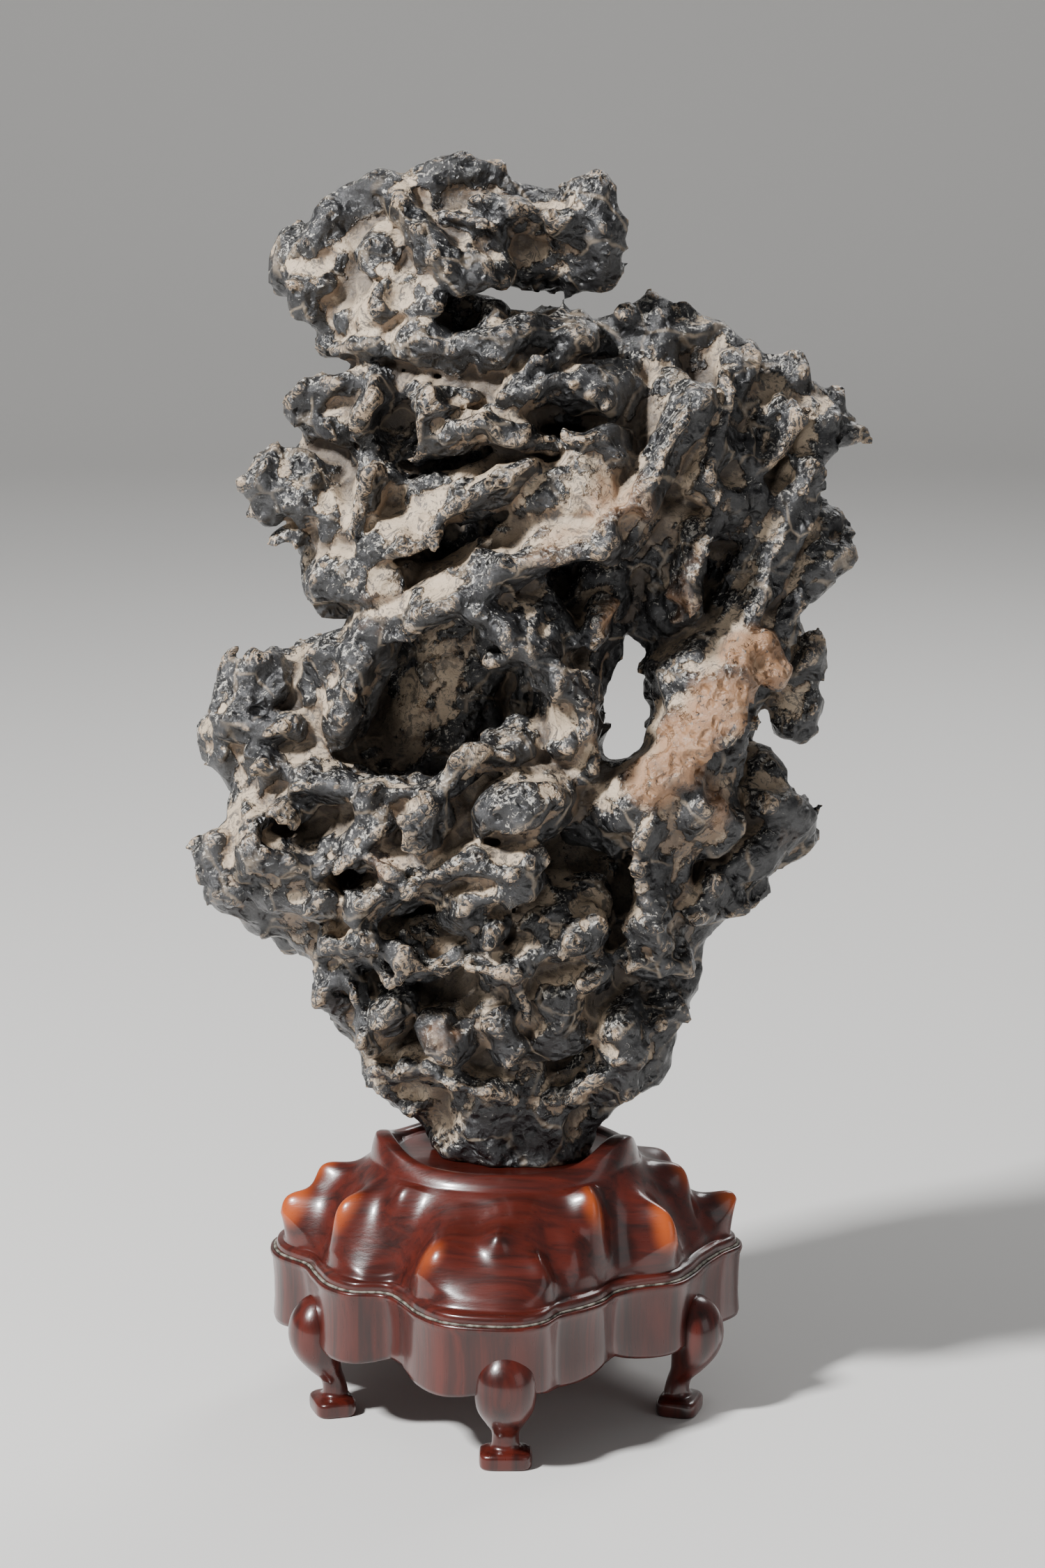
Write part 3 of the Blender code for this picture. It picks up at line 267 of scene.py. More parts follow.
HOLLOWS = [
    # through the stone beside the slab, and under the cap
    [(52, 338, -95, 8), (52, 338, 95, 8)],
    [(53, 327, -95, 9), (53, 327, 95, 9)],
    [(52, 316, -95, 8), (52, 316, 95, 8)],
    [(12, 503, -60, 3), (24, 503, -60, 4.5), (38, 504, -60, 4)],
    [(12, 503, -30, 3), (24, 503, -30, 4.5), (38, 504, -30, 4)],
    [(18, 504, -60, 4.5), (18, 504, 60, 4.5)],
    [(22, 504, -60, 5.5), (22, 504, 60, 5.5)],
    [(28, 504, -60, 5), (28, 504, 60, 5)],
    [(34, 504, -60, 4.5), (34, 504, 60, 5)],
    # cap
    [(-41, 546, -40, 6.5), (-30, 549, -40, 8), (-20, 552, -36, 6)],
    [(2, 533, -44, 8), (22, 529, -42, 7)],
    [(-9, 528, -50, 5), (-8, 527, -38, 4)],
    [(-66, 528, -46, 14), (-54, 518, -48, 12), (-46, 508, -50, 10)],
    # upper body
    [(-87, 459, -44, 5), (-80, 458, -38, 6)],
    [(-81, 425, -48, 6), (-80, 425, -40, 4)],
    [(-48, 458, -66, 9), (-50, 448, -58, 10), (-46, 448, -38, 9)],
    [(-20, 470, -66, 12), (5, 474, -64, 7)],
    [(-38, 425, -74, 16), (-40, 425, -62, 12)],
    [(-58, 408, -66, 9), (-40, 411, -72, 9)],
    [(-52, 374, -80, 12), (-25, 396, -88, 13), (0, 415, -90, 13), (15, 433, -86, 11)],
    [(-8, 440, -78, 6), (18, 452, -74, 7)],
    [(-66, 362, -66, 8), (-50, 355, -70, 9)],
    [(108, 470, -42, 12), (112, 450, -44, 12), (108, 443, -44, 10)],
    [(110, 430, -52, 10), (103, 402, -54, 10), (94, 378, -58, 9)],
    [(137, 428, -40, 6), (131, 402, -42, 7), (122, 384, -44, 6)],
    [(84, 446, -64, 7), (77, 420, -66, 8), (72, 396, -68, 7)],
    [(141, 384, -36, 6), (136, 380, -30, 6)],
    [(144, 420, -44, 10), (140, 410, -44, 8)],
    [(62, 466, -66, 14), (70, 480, -52, 12)],
    [(70, 452, -70, 8), (66, 448, -70, 8)],
    [(57, 388, -84, 7), (57, 388, -64, 6)],
    [(55, 406, -84, 6), (55, 406, -68, 4)],
    [(66, 369, -72, 8), (66, 369, -56, 7)],
    [(48, 352, -70, 8), (50, 348, -40, 8)],
    # middle
    [(-26, 330, -72, 16), (-38, 318, -58, 18), (-26, 314, -44, 14)],
    [(-46, 335, -64, 14), (-30, 345, -64, 12)],
    [(-20, 352, -82, 9), (-44, 352, -74, 9)],
    [(31, 350, -74, 3.5), (31, 350, -50, 3.5)],
    [(0, 330, -78, 16), (12, 318, -76, 12)],
    [(-6, 312, -92, 14), (8, 310, -92, 12)],
    [(40, 278, -86, 15), (36, 262, -88, 14)],
    [(10, 237, -92, 14), (30, 246, -88, 12)],
    [(54, 258, -76, 4), (50, 240, -76, 4)],
    [(96, 300, -62, 12), (104, 318, -56, 9)],
    [(76, 264, -70, 9), (82, 256, -66, 8)],
    # left middle
    [(-105, 338, -44, 9), (-106, 338, -36, 8)],
    [(-89, 335, -56, 7), (-88, 335, -42, 6)],
    [(-116, 298, -34, 7), (-108, 290, -42, 6)],
    [(-94, 276, -62, 6), (-68, 284, -68, 7), (-44, 288, -72, 6)],
    [(-118, 280, -50, 6), (-128, 284, -30, 5)],
    [(-90, 312, -60, 8), (-84, 312, -56, 7)],
    [(-30, 243, -80, 10), (-31, 243, -66, 7)],
    [(-56, 236, -72, 6), (-40, 232, -76, 7)],
    [(-112, 255, -54, 4), (-90, 244, -60, 6)],
    # bottom
    [(-38, 203, -64, 9), (-14, 205, -66, 9), (-17, 206, -50, 7)],
    [(42, 206, -66, 4), (62, 208, -62, 5), (86, 206, -46, 5)],
    [(30, 178, -60, 9), (14, 172, -60, 8)],
    [(-31, 160, -60, 5), (-31, 150, -54, 6)],
    [(-48, 186, -56, 6), (-44, 182, -56, 5)],
    # back
    [(-62, 300, 72, 14), (-20, 325, 82, 15), (12, 345, 78, 13)],
    [(-70, 375, 62, 12), (-20, 400, 80, 13), (30, 428, 80, 13), (70, 455, 64, 10)],
    [(-40, 236, 72, 12), (20, 268, 80, 13), (60, 292, 68, 11)],
    [(64, 362, 74, 15), (92, 400, 58, 13), (110, 430, 44, 9)],
    [(-36, 450, 66, 12), (10, 482, 60, 11)],
    [(-62, 518, 56, 12), (-20, 528, 54, 11)],
    [(-20, 198, 64, 10), (30, 214, 66, 10)],
    [(-100, 290, 44, 12), (-84, 300, 52, 10)],
]

print(len(MASSES), "masses,", len(RIDGES), "ridges,", len(HOLLOWS), "hollows")

# %% [markdown]
# The solid is held as a field: at each point of a fine grid, the distance to the stone's skin, negative
# inside. Fields join, cut and wear smoothly, which meshes of such knotted forms don't.

# %% The grid and its tools
CELL = 1.7
NOISE_GAIN = 1.9
LOW = np.array([-158.0, -98.0, 104.0])
HIGH = np.array([170.0, 88.0, 566.0])
COUNT = np.ceil((HIGH - LOW) / CELL).astype(int)
AXES = [LOW[axis] + CELL * np.arange(COUNT[axis]) for axis in range(3)]


def smooth_min(first, second, blend):
    """Smaller of two fields, rounded over a width: b + (a - b) h - k h (1 - h), with h from 0 to 1."""
    share = np.clip(0.5 + 0.5 * (second - first) / blend, 0.0, 1.0)
    return second + (first - second) * share - blend * share * (1.0 - share)


def lattice_noise(spacing, seed):
    """Smooth random field: values from -1 to 1 on a coarse lattice, blended by a cubic along each axis."""
    values = np.random.default_rng(seed)
    size = np.ceil((HIGH - LOW) / spacing).astype(int) + 4
    field = values.uniform(-1.0, 1.0, size).astype(np.float32)
    for axis in range(3):
        place_on = (AXES[axis] - LOW[axis]) / spacing + 1.0
        cell = np.floor(place_on).astype(int)
        t = place_on - cell
        weights = np.zeros((COUNT[axis], size[axis]), np.float32)
        rows = np.arange(COUNT[axis])
        weights[rows, cell - 1] = (1 - t) ** 3 / 6
        weights[rows, cell] = (3 * t**3 - 6 * t**2 + 4) / 6
        weights[rows, cell + 1] = (-3 * t**3 + 3 * t**2 + 3 * t + 1) / 6
        weights[rows, cell + 2] = t**3 / 6
        field = np.moveaxis(np.tensordot(weights, field, axes=(1, axis)), 0, axis)
    return field * NOISE_GAIN


def window(start, end, margin):
    """Slices of the grid that hold two balls (centre and radius) with a margin."""
    low = np.minimum(start[0] - start[1], end[0] - end[1]) - margin
    high = np.maximum(start[0] + start[1], end[0] + end[1]) + margin
    first = np.clip(np.floor((low - LOW) / CELL).astype(int), 0, COUNT)
    last = np.clip(np.ceil((high - LOW) / CELL).astype(int) + 1, 0, COUNT)
    return tuple(slice(first[axis], last[axis]) for axis in range(3))


def limb(part, start, end, bend):
    """Distance to the skin shared by two balls, at the grid's points moved by the bend."""
    x, y, z = (
        AXES[axis][part[axis]].reshape([-1 if other == axis else 1 for other in range(3)]) + bend[axis][part]
        for axis in range(3)
    )
    centre, radius = start
    line = end[0] - centre
    square = max(float(line @ line), 1e-6)
    along = (x - centre[0]) * line[0] + (y - centre[1]) * line[1] + (z - centre[2]) * line[2]
    share = np.clip(along / square, 0, 1)
    away = (
        (x - centre[0] - share * line[0]) ** 2
        + (y - centre[1] - share * line[1]) ** 2
        + (z - centre[2] - share * line[2]) ** 2
    )
    return np.sqrt(away) - (radius + (end[1] - radius) * share)


print("grid", tuple(COUNT), "of", CELL, "mm cells")

# %% [markdown]
# Masses are joined with wide fillets, ridges with narrow ones, and hollows are cut with a crisp edge, because
# the real stone has soft scoops that meet in sharp crests. A gentle bend of the whole grid keeps any form
# from looking drawn with a compass.

# %% Join the masses and ridges, cut the hollows
MASS_FILLET = 4.0
RIDGE_FILLET = 1.5
HOLLOW_FILLET = 1.2
MASS_MARGIN = 20.0
RIDGE_MARGIN = 14.0
HOLLOW_MARGIN = 10.0
EMPTY = 30.0
BEND_WIDE = 1.4
BEND_FINE = 2.2
WIDE_SPACING = 34.0
FINE_SPACING = 12.0
CREST = 0.5
THIN_RIDGE = 6.0
FULL_RIDGE = 11.0
SINK = 3.0
ROOT_DEPTH = 26.0
ROOT_SWELL = 7.5
ROOT_STEPS = (0.0, 0.12, 0.45, 1.0)


def pairs(run):
    """Neighbouring balls of a run, as (centre, radius) pairs."""
    centres = place([ball[:3] for ball in run])
    balls = [(centre, ball[3]) for centre, ball in zip(centres, run)]
    return list(zip(balls, balls[1:]))


CORES = [ball for run in MASSES for pair in pairs(run) for ball in pair]
CORE_MIDDLES = np.array([centre for centre, radius in CORES])
CORE_RADII = np.array([radius for centre, radius in CORES])


def rooted(ball, share):
    """The ball that a ridge's ball widens to on its way to the nearest mass; thin ones start as a crest."""
    centre, radius = ball
    far = np.linalg.norm(CORE_MIDDLES - centre, axis=1)
    nearest = np.argmin(far - CORE_RADII)
    inward = (CORE_MIDDLES[nearest] - centre) / max(far[nearest], 1.0)
    if share == 0.0:
        blunt = CREST + (1.0 - CREST) * min(max((radius - THIN_RIDGE) / (FULL_RIDGE - THIN_RIDGE), 0.0), 1.0)
        return centre - inward * radius * (1.0 - blunt), radius * blunt
    return centre + inward * ROOT_DEPTH * share, radius + ROOT_SWELL * share


def sunk(ball):
    """A hollow's ball pressed further in from whichever side it cuts."""
    centre, radius = ball
    return centre - np.array([0.0, SINK * np.sign(centre[1]), 0.0]), radius


def raw_stone(bend):
    """Field of the stone before wear."""
    field = np.full(COUNT, EMPTY, np.float32)
    for run in MASSES:
        for start, end in pairs(run):
            part = window(start, end, MASS_MARGIN)
            field[part] = smooth_min(field[part], limb(part, start, end, bend), MASS_FILLET)
    for run in RIDGES:
        for start, end in pairs(run):
            for share in ROOT_STEPS:
                first, last = rooted(start, share), rooted(end, share)
                part = window(first, last, RIDGE_MARGIN)
                field[part] = smooth_min(field[part], limb(part, first, last, bend), RIDGE_FILLET)
    for run in HOLLOWS:
        for start, end in pairs(run):
            start, end = sunk(start), sunk(end)
            part = window(start, end, HOLLOW_MARGIN)
            field[part] = -smooth_min(-field[part], limb(part, start, end, bend), HOLLOW_FILLET)
    return field


bend = [
    BEND_WIDE * lattice_noise(WIDE_SPACING, 11 + axis) + BEND_FINE * lattice_noise(FINE_SPACING, 21 + axis)
    for axis in range(3)
]
field = raw_stone(bend)
print("raw stone fills", int((field < 0).sum()), "cells")

# %% [markdown]
# Wear comes in three sizes of scoop, all drawn out along the bedding, which meet in crests. The largest are
# deepest near the foot, and the middle ones come in patches. On what stands proud grow round warts a few
# millimetres wide. How proud a point stands comes from the share of stone around it, and growth is limited,
# so that narrow gaps stay open.

# %% Wear the surface
LARGE = {"depth": 7.0, "size": (31.0, 25.0, 19.0), "level": 0.50, "ragged": 0.35, "widest": 0.85, "seed": 1}
MEDIUM = {"depth": 4.4, "size": (17.0, 14.0, 11.5), "level": 0.45, "ragged": 0.5, "widest": 0.80, "seed": 2}
SMALL = {"depth": 2.6, "size": (8.0, 7.0, 5.5), "level": 0.40, "ragged": 0.6, "widest": 0.80, "seed": 4}
WARTS = 2.8
WART_SIZE = 7.0
WART_LEVEL = 0.35
GROWTH = 3.4
SKIN_REACH = 11.0
PROUD_REACH = 4
PROUD_LEVEL = 0.52
LOW_FROM = 240.0
LOW_OVER = 60.0
BEDDING_SLANT = math.radians(48.0)


def blur(volume, reach):
    """Mean over a cube of so many cells each way, twice, for a rounder window."""
    for _ in range(2):
        for axis in range(3):
            margins = [(reach + 1, reach) if other == axis else (0, 0) for other in range(3)]
            padded = np.moveaxis(np.pad(volume, margins, "edge"), axis, 0)
            total = np.cumsum(padded, axis=0, dtype=np.float64)
            mean = (total[2 * reach + 1:] - total[:-2 * reach - 1]) / (2 * reach + 1)
            volume = np.moveaxis(mean, 0, axis).astype(np.float32)
    return volume


def cell_distances(points, seed):
    """Squared distance to the nearest of one random point in each unit cell round these points."""
    table = np.random.default_rng(seed).uniform(0.0, 1.0, (64, 64, 64, 3)).astype(np.float32)
    cell = np.floor(points).astype(int)
    nearest = np.full(len(points), 9.0, np.float32)
    for step in np.ndindex(3, 3, 3):
        other = cell + np.array(step) - 1
        index = other & 63
        centre = other + table[index[:, 0], index[:, 1], index[:, 2]]
        nearest = np.minimum(nearest, ((points - centre) ** 2).sum(axis=1))
    return nearest


def along_bedding(points, size):
    """Coordinates in cells of a given length, depth and height, turned to the bedding's slant."""
    cos, sin = math.cos(BEDDING_SLANT), math.sin(BEDDING_SLANT)
    along = points[:, 0] * cos + points[:, 2] * sin
    across = points[:, 2] * cos - points[:, 0] * sin
    return np.stack([along / size[0], points[:, 1] / size[1], across / size[2]], axis=1)


def scoops(points, ragged, kind):
    """Depth of one size of scoop: level - d, with d the squared distance to the scoop's middle in cells."""
    cells_at = along_bedding(points, kind["size"]) + kind["ragged"] * ragged
    return kind["level"] - np.minimum(cell_distances(cells_at, kind["seed"]), kind["widest"])


def wear(field):
    """The field with scoops pressed in and warts raised near its skin."""
    fullness = blur((field < 0).astype(np.float32), PROUD_REACH)
    near = np.abs(field) < SKIN_REACH
    points = (LOW + np.argwhere(near) * CELL).astype(np.float32)
    ragged = np.stack([lattice_noise(16.0, 41 + axis)[near] for axis in range(3)], axis=1)
    proud = np.clip((PROUD_LEVEL - fullness[near]) * 6.0, 0.0, 1.0)
    patchy = np.clip(1.0 + 0.75 * lattice_noise(36.0, 51)[near], 0.35, 1.7)
    low = np.clip((LOW_FROM - points[:, 2]) / LOW_OVER, 0.0, 1.0)
    warts = np.minimum(cell_distances(points / WART_SIZE + 0.6 * ragged, 3), 1.0)
    worn = field[near] + LARGE["depth"] * (1.0 + 0.35 * low) * scoops(points, ragged, LARGE)
    worn = worn + MEDIUM["depth"] * patchy * (1.0 - 0.4 * low) * scoops(points, ragged, MEDIUM)
    worn = worn + SMALL["depth"] * scoops(points, ragged, SMALL)
    worn += WARTS * (warts - WART_LEVEL) * proud
    field = field.copy()
    field[near] = np.maximum(worn, field[near] - GROWTH)
    return field


field = wear(field)
print("worn stone fills", int((field < 0).sum()), "cells")

# %% [markdown]
# The skin is where the field is nought. Each grid cell that the skin crosses gets one point, at the mean of
# the crossings on its edges, and each grid edge that it crosses gets one four-sided face round it. The mesh
# is then thinned where it is flat, which keeps the fine cells for the crests.

# %% Mesh the skin
KEPT_FACES = 188000
CORNERS = [corner for corner in np.ndindex(2, 2, 2)]


def skin_points(field, index):
    """One point per crossed cell: the mean of the zero crossings on the cell's twelve edges."""
    value = {corner: field[tuple((index + corner).T)] for corner in CORNERS}
    total = np.zeros((len(index), 3))
    count = np.zeros(len(index))
    for corner in CORNERS:
        for axis in range(3):
            if corner[axis]:
                continue
            far = tuple(1 if other == axis else corner[other] for other in range(3))
            near_value, far_value = value[corner], value[far]
            crossed = (near_value < 0) != (far_value < 0)
            share = np.where(crossed, near_value / np.where(crossed, near_value - far_value, 1.0), 0.0)
            for other in range(3):
                total[:, other] += crossed * (share if other == axis else corner[other])
            count += crossed
    return LOW + (index + total / count[:, None]) * CELL


def skin_faces(inside, number):
    """Four-sided faces round the crossed grid edges; number holds each crossed cell's point."""
    faces = []
    for axis in range(3):
        first, second = (other for other in range(3) if other != axis)
        low = [slice(1, -1)] * 3
        high = [slice(1, -1)] * 3
        low[axis] = slice(0, -1)
        high[axis] = slice(1, None)
        here = inside[tuple(low)]
        cell = np.argwhere(here != inside[tuple(high)])
        starts_inside = here[tuple(cell.T)]
        cell[:, first] += 1
        cell[:, second] += 1
        around = []
        for back_first, back_second in ((0, 0), (1, 0), (1, 1), (0, 1)):
            step = np.zeros(3, int)
            step[first], step[second] = back_first, back_second
            around.append(number[tuple((cell - step).T)])
        around = np.stack(around, axis=1)
        turned = starts_inside if axis == 1 else ~starts_inside
        around[turned] = around[turned][:, ::-1]
        faces.append(around)
    return np.concatenate(faces)


def largest_body(points, faces):
    """Points and faces of the biggest connected skin; each point takes the lowest number it is joined to."""
    label = np.arange(len(points))
    while True:
        lowest = label[faces].min(axis=1)
        updated = label.copy()
        for corner in range(4):
            np.minimum.at(updated, faces[:, corner], lowest)
        updated = updated[updated]
        if (updated == label).all():
            break
        label = updated
    keep = label == np.bincount(label).argmax()
    renumber = np.cumsum(keep) - 1
    return points[keep], renumber[faces[keep[faces[:, 0]]]]


def mesh_from(name, points, faces):
    """Mesh object from points in millimetres and faces given as one whole array."""
    mesh = bpy.data.meshes.new(name)
    corners = faces.shape[1]
    mesh.vertices.add(len(points))
    mesh.vertices.foreach_set("co", ((points - np.array([STONE_ACROSS, 0.0, 0.0])) * MM).ravel())
    mesh.loops.add(faces.size)
    mesh.loops.foreach_set("vertex_index", faces.ravel())
    mesh.polygons.add(len(faces))
    mesh.polygons.foreach_set("loop_start", np.arange(0, faces.size, corners))
    mesh.polygons.foreach_set("loop_total", np.full(len(faces), corners))
    mesh.update(calc_edges=True)
    mesh.shade_smooth()
    made = bpy.data.objects.new(name, mesh)
    bpy.context.scene.collection.objects.link(made)
    return made


def settle(item):
    """Replaces an object's mesh by what its modifiers make of it."""
    shown = item.evaluated_get(bpy.context.evaluated_depsgraph_get())
    mesh = bpy.data.meshes.new_from_object(shown)
    item.modifiers.clear()
    item.data = mesh
    mesh.shade_smooth()


def make_stone(field):
    inside = field < 0
    crossed = np.zeros(COUNT - 1, int)
    for corner in CORNERS:
        crossed += inside[tuple(slice(c, n - 1 + c) for c, n in zip(corner, COUNT))]
    mixed = (crossed > 0) & (crossed < 8)
    index = np.argwhere(mixed)
    number = np.full(mixed.shape, -1)
    number[mixed] = np.arange(len(index))
    points, faces = largest_body(skin_points(field, index), skin_faces(inside, number))
    points[:, 2] = np.maximum(points[:, 2], STONE_BASE)
    stone = mesh_from("scholar_stone", points, faces)
    thin = stone.modifiers.new("thin", "DECIMATE")
    thin.ratio = min(1.0, KEPT_FACES / (2 * len(faces)))
    settle(stone)
    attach(stone, "root")
    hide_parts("stone")
    return stone


STONE_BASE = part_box("stone")[0][2] / MM
stone = make_stone(field)
print("stone:", len(stone.data.vertices), "points,", len(stone.data.polygons), "faces")

# %% [markdown]
# The stone's colour follows its form. What stands proud is black glossy limestone, and the tan and cream
# matrix shows between the knobs, darkened by painted shade in deep hollows and made cream by painted light
# where it faces the key light. Some patches right of the middle are stained orange. The mesh carries how
# hollow each point is, measured in the field, and how far it faces the key light.

# %% Measure hollows and crests
# direction of the key light, upper left and front; surfaces facing it get painted light
KEY_LIGHT_FROM = np.array([-0.42, -0.36, 0.83])
NEAR_REACH = 3
WIDE_REACH = 7
STAINS = [
    (113, 350, -48, 14, 1.0), (80, 311, -62, 18, 1.0), (94, 328, -58, 17, 1.0), (64, 297, -60, 13, 0.8),
    (101, 352, -50, 10, 0.9), (64, 368, -64, 22, 1.0), (70, 392, -62, 16, 0.6), (88, 290, -55, 16, 0.5),
    (116, 275, -25, 20, 0.4),
    (-52, 262, -62, 14, 0.45), (-28, 186, -52, 16, 0.5), (50, 420, -66, 26, 0.35), (15, 398, -76, 24, 0.35),
    (20, 350, -70, 14, 0.4), (-60, 366, -55, 16, 0.35), (0, 212, -60, 14, 0.4), (105, 450, -40, 20, 0.25),
    (-30, 560, 0, 26, 0.25), (60, 330, 50, 26, 0.6), (-40, 420, 50, 24, 0.4),
]


def read_field(volume, points):
    """Value of a grid volume at any points, blended linearly between its eight nearest cells."""
    spot = (points - LOW) / CELL
    cell = np.clip(np.floor(spot).astype(int), 0, COUNT - 2)
    share = spot - cell
    total = np.zeros(len(points))
    for corner in CORNERS:
        weight = np.prod(np.where(np.array(corner) == 1, share, 1.0 - share), axis=1)
        total += weight * volume[tuple((cell + corner).T)]
    return total


def add_measure(mesh, name, values):
    measure = mesh.attributes.new(name, "FLOAT", "POINT")
    measure.data.foreach_set("value", values.astype(np.float32))


def measure_stone(stone, field):
    """Point values from 0 to 1: near and wide hollowness (0.5 is flat), orange stain, and facing the key
    light for painted light.
    """
    mesh = stone.data
    flat = np.empty(len(mesh.vertices) * 3)
    mesh.vertices.foreach_get("co", flat)
    points = flat.reshape(-1, 3) / MM + np.array([STONE_ACROSS, 0.0, 0.0])
    inside = (field < 0).astype(np.float32)
    add_measure(mesh, "hollow_near", read_field(blur(inside, NEAR_REACH), points))
    add_measure(mesh, "hollow_wide", read_field(blur(inside, WIDE_REACH), points))
    stain = np.zeros(len(points))
    for across, up, depth, reach, strength in STAINS:
        centre = place([(across, up, depth)])[0]
        stain = np.maximum(stain, strength * np.exp(-((points - centre) ** 2).sum(axis=1) / reach**2))
    add_measure(mesh, "stain", stain)
    # how far each point faces the key light, read by the material as painted light
    facing = np.empty(len(mesh.vertices) * 3)
    mesh.vertex_normals.foreach_get("vector", facing)
    add_measure(mesh, "key_light_facing", 0.5 + 0.5 * (facing.reshape(-1, 3) @ KEY_LIGHT_FROM))


measure_stone(stone, field)
print("measures:", [item.name for item in stone.data.attributes if item.data_type == "FLOAT"])

# %% [markdown]
# Short helpers add shader nodes and sums of them. Noise scales count waves in a metre. The web of veins is a
# node group that gives only a mask, and shaders stay in the material itself.

# %% Node helpers


def add_node(tree, kind, settings=None, **inputs):
    """New node with its settings, and inputs given as values or as other nodes' outputs."""
    node = tree.nodes.new(kind)
    for key, value in (settings or {}).items():
        setattr(node, key, value)
    for key, value in inputs.items():
        socket = node.inputs[int(key[1:]) if key[1:].isdigit() else key]
        if isinstance(value, bpy.types.NodeSocket):
            tree.links.new(value, socket)
        else:
            socket.default_value = value
    return node


def calc(tree, operation, first, second):
    return add_node(tree, "ShaderNodeMath", {"operation": operation}, i0=first, i1=second).outputs[0]


def times(tree, first, second):
    return calc(tree, "MULTIPLY", first, second)


def plus(tree, base, value, share):
    """base + value * share"""
    return calc(tree, "ADD", base, times(tree, value, share))


def ramp(tree, value, low, high):
    """Value brought from the range low to high onto 0 to 1, clamped and eased."""
    smooth = {"interpolation_type": "SMOOTHSTEP"}
    return add_node(tree, "ShaderNodeMapRange", smooth, i0=value, i1=low, i2=high).outputs[0]


def mix_colour(tree, share, first, second):
    node = add_node(tree, "ShaderNodeMix", {"data_type": "RGBA"})
    for socket, value in ((node.inputs[0], share), (node.inputs[6], first), (node.inputs[7], second)):
        if isinstance(value, bpy.types.NodeSocket):
            tree.links.new(value, socket)
        elif isinstance(value, float):
            socket.default_value = value
        else:
            socket.default_value = (*value, 1.0)
    return node.outputs[2]


def noise(tree, vector, scale, detail=4.0, roughness=0.55, distortion=0.0):
    node = add_node(
        tree, "ShaderNodeTexNoise",
        Vector=vector, Scale=scale, Detail=detail, Roughness=roughness, Distortion=distortion,
    )
    return node.outputs[0]


def cells(tree, vector, scale, feature="F1"):
    node = add_node(tree, "ShaderNodeTexVoronoi", {"feature": feature}, Vector=vector, Scale=scale)
    return node.outputs["Distance"]


def measure_of(tree, name):
    return add_node(tree, "ShaderNodeAttribute", {"attribute_name": name}).outputs["Fac"]


def vector_calc(tree, operation, **inputs):
    return add_node(tree, "ShaderNodeVectorMath", {"operation": operation}, **inputs).outputs[0]


def swirled(tree, vector, scale, amount):
    """The vector pushed about by a coloured noise, for veins and blotches that wander."""
    push = add_node(tree, "ShaderNodeTexNoise", Vector=vector, Scale=scale, Detail=3.0)
    centred = vector_calc(tree, "SUBTRACT", i0=push.outputs[1], i1=(0.5, 0.5, 0.5))
    scaled = vector_calc(tree, "SCALE", i0=centred, Scale=amount)
    return vector_calc(tree, "ADD", i0=vector, i1=scaled)


def bump(tree, height, strength, distance):
    return add_node(tree, "ShaderNodeBump", Strength=strength, Distance=distance, Height=height)


def roughen(tree, shader, under, over):
    """Both bumps on the shader's normal, one on top of the other."""
    tree.links.new(under.outputs[0], over.inputs["Normal"])
    tree.links.new(over.outputs[0], shader.inputs["Normal"])


def new_material(name):
    made = bpy.data.materials.new(name)
    made.use_nodes = True
    return made, made.node_tree, made.node_tree.nodes["Principled BSDF"]


def object_vector(tree):
    return add_node(tree, "ShaderNodeTexCoord").outputs["Object"]


print("node helpers ready")

# %% [markdown]
# Limestone of this kind is black and close-grained and shines where it stands proud, with a pale speckle that
# is partly painted glints, more of them on the side facing the key light. Its softer matrix is tan and brown
# with hairs of slate; painted light turns it cream where it faces the key light at the upper left, and
# painted shade darkens it to brown in deep hollows. The edges of the knobs and the thinnest crests are rubbed
# pale, and faint white veins run through all of it.

# %% The stone's material
BLACK = (0.010, 0.010, 0.011)
SLATE = (0.052, 0.053, 0.056)
GLINT = (0.60, 0.57, 0.51)
BROWN = (0.060, 0.046, 0.035)
TAN = (0.25, 0.175, 0.115)
CREAM = (0.62, 0.49, 0.35)
RIM = (0.62, 0.42, 0.26)
ORANGE = (0.42, 0.225, 0.115)
# where each mask begins and ends on the measure or noise that it reads
SLATE_FROM = (0.35, 0.72)
TOWARD_KEY_LIGHT = (0.66, 1.00)
KNOB_EDGE = (0.615, 0.565)
GLINTS_IN_LIGHT = (0.45, 1.00)
SPECKS = (0.645, 0.72)
TAN_FROM = (0.36, 0.60)
CREAM_IN_LIGHT = (0.66, 0.98)
HAIRS = (0.49, 0.43)
HOLLOW_SHADE = (0.52, 0.70)
RIM_NEAR = (0.50, 0.36)
THIN_CREST = (0.33, 0.25)
CREST_GRAIN = (0.49, 0.56)
STAIN_EDGE = (0.28, 0.62)
STAIN_GRAIN = (0.36, 0.48)
STAIN_CREAM = (0.50, 0.80)


def vein_group():
    """Mask of the web of veins, broken into stretches, from a place on the stone."""
    group = bpy.data.node_groups.new("calcite_veins", "ShaderNodeTree")
    group.interface.new_socket(name="Vector", in_out="INPUT", socket_type="NodeSocketVector")
    group.interface.new_socket(name="Veins", in_out="OUTPUT", socket_type="NodeSocketFloat")
    start = group.nodes.new("NodeGroupInput")
    end = group.nodes.new("NodeGroupOutput")
    wandering = swirled(group, start.outputs[0], 38.0, 0.020)
    away = ramp(group, cells(group, wandering, 42.0, "DISTANCE_TO_EDGE"), 0.0, 0.055)
    stretches = ramp(group, noise(group, start.outputs[0], 60.0, 2.0), 0.42, 0.62)
    group.links.new(times(group, calc(group, "SUBTRACT", 1.0, away), stretches), end.inputs[0])
    return group


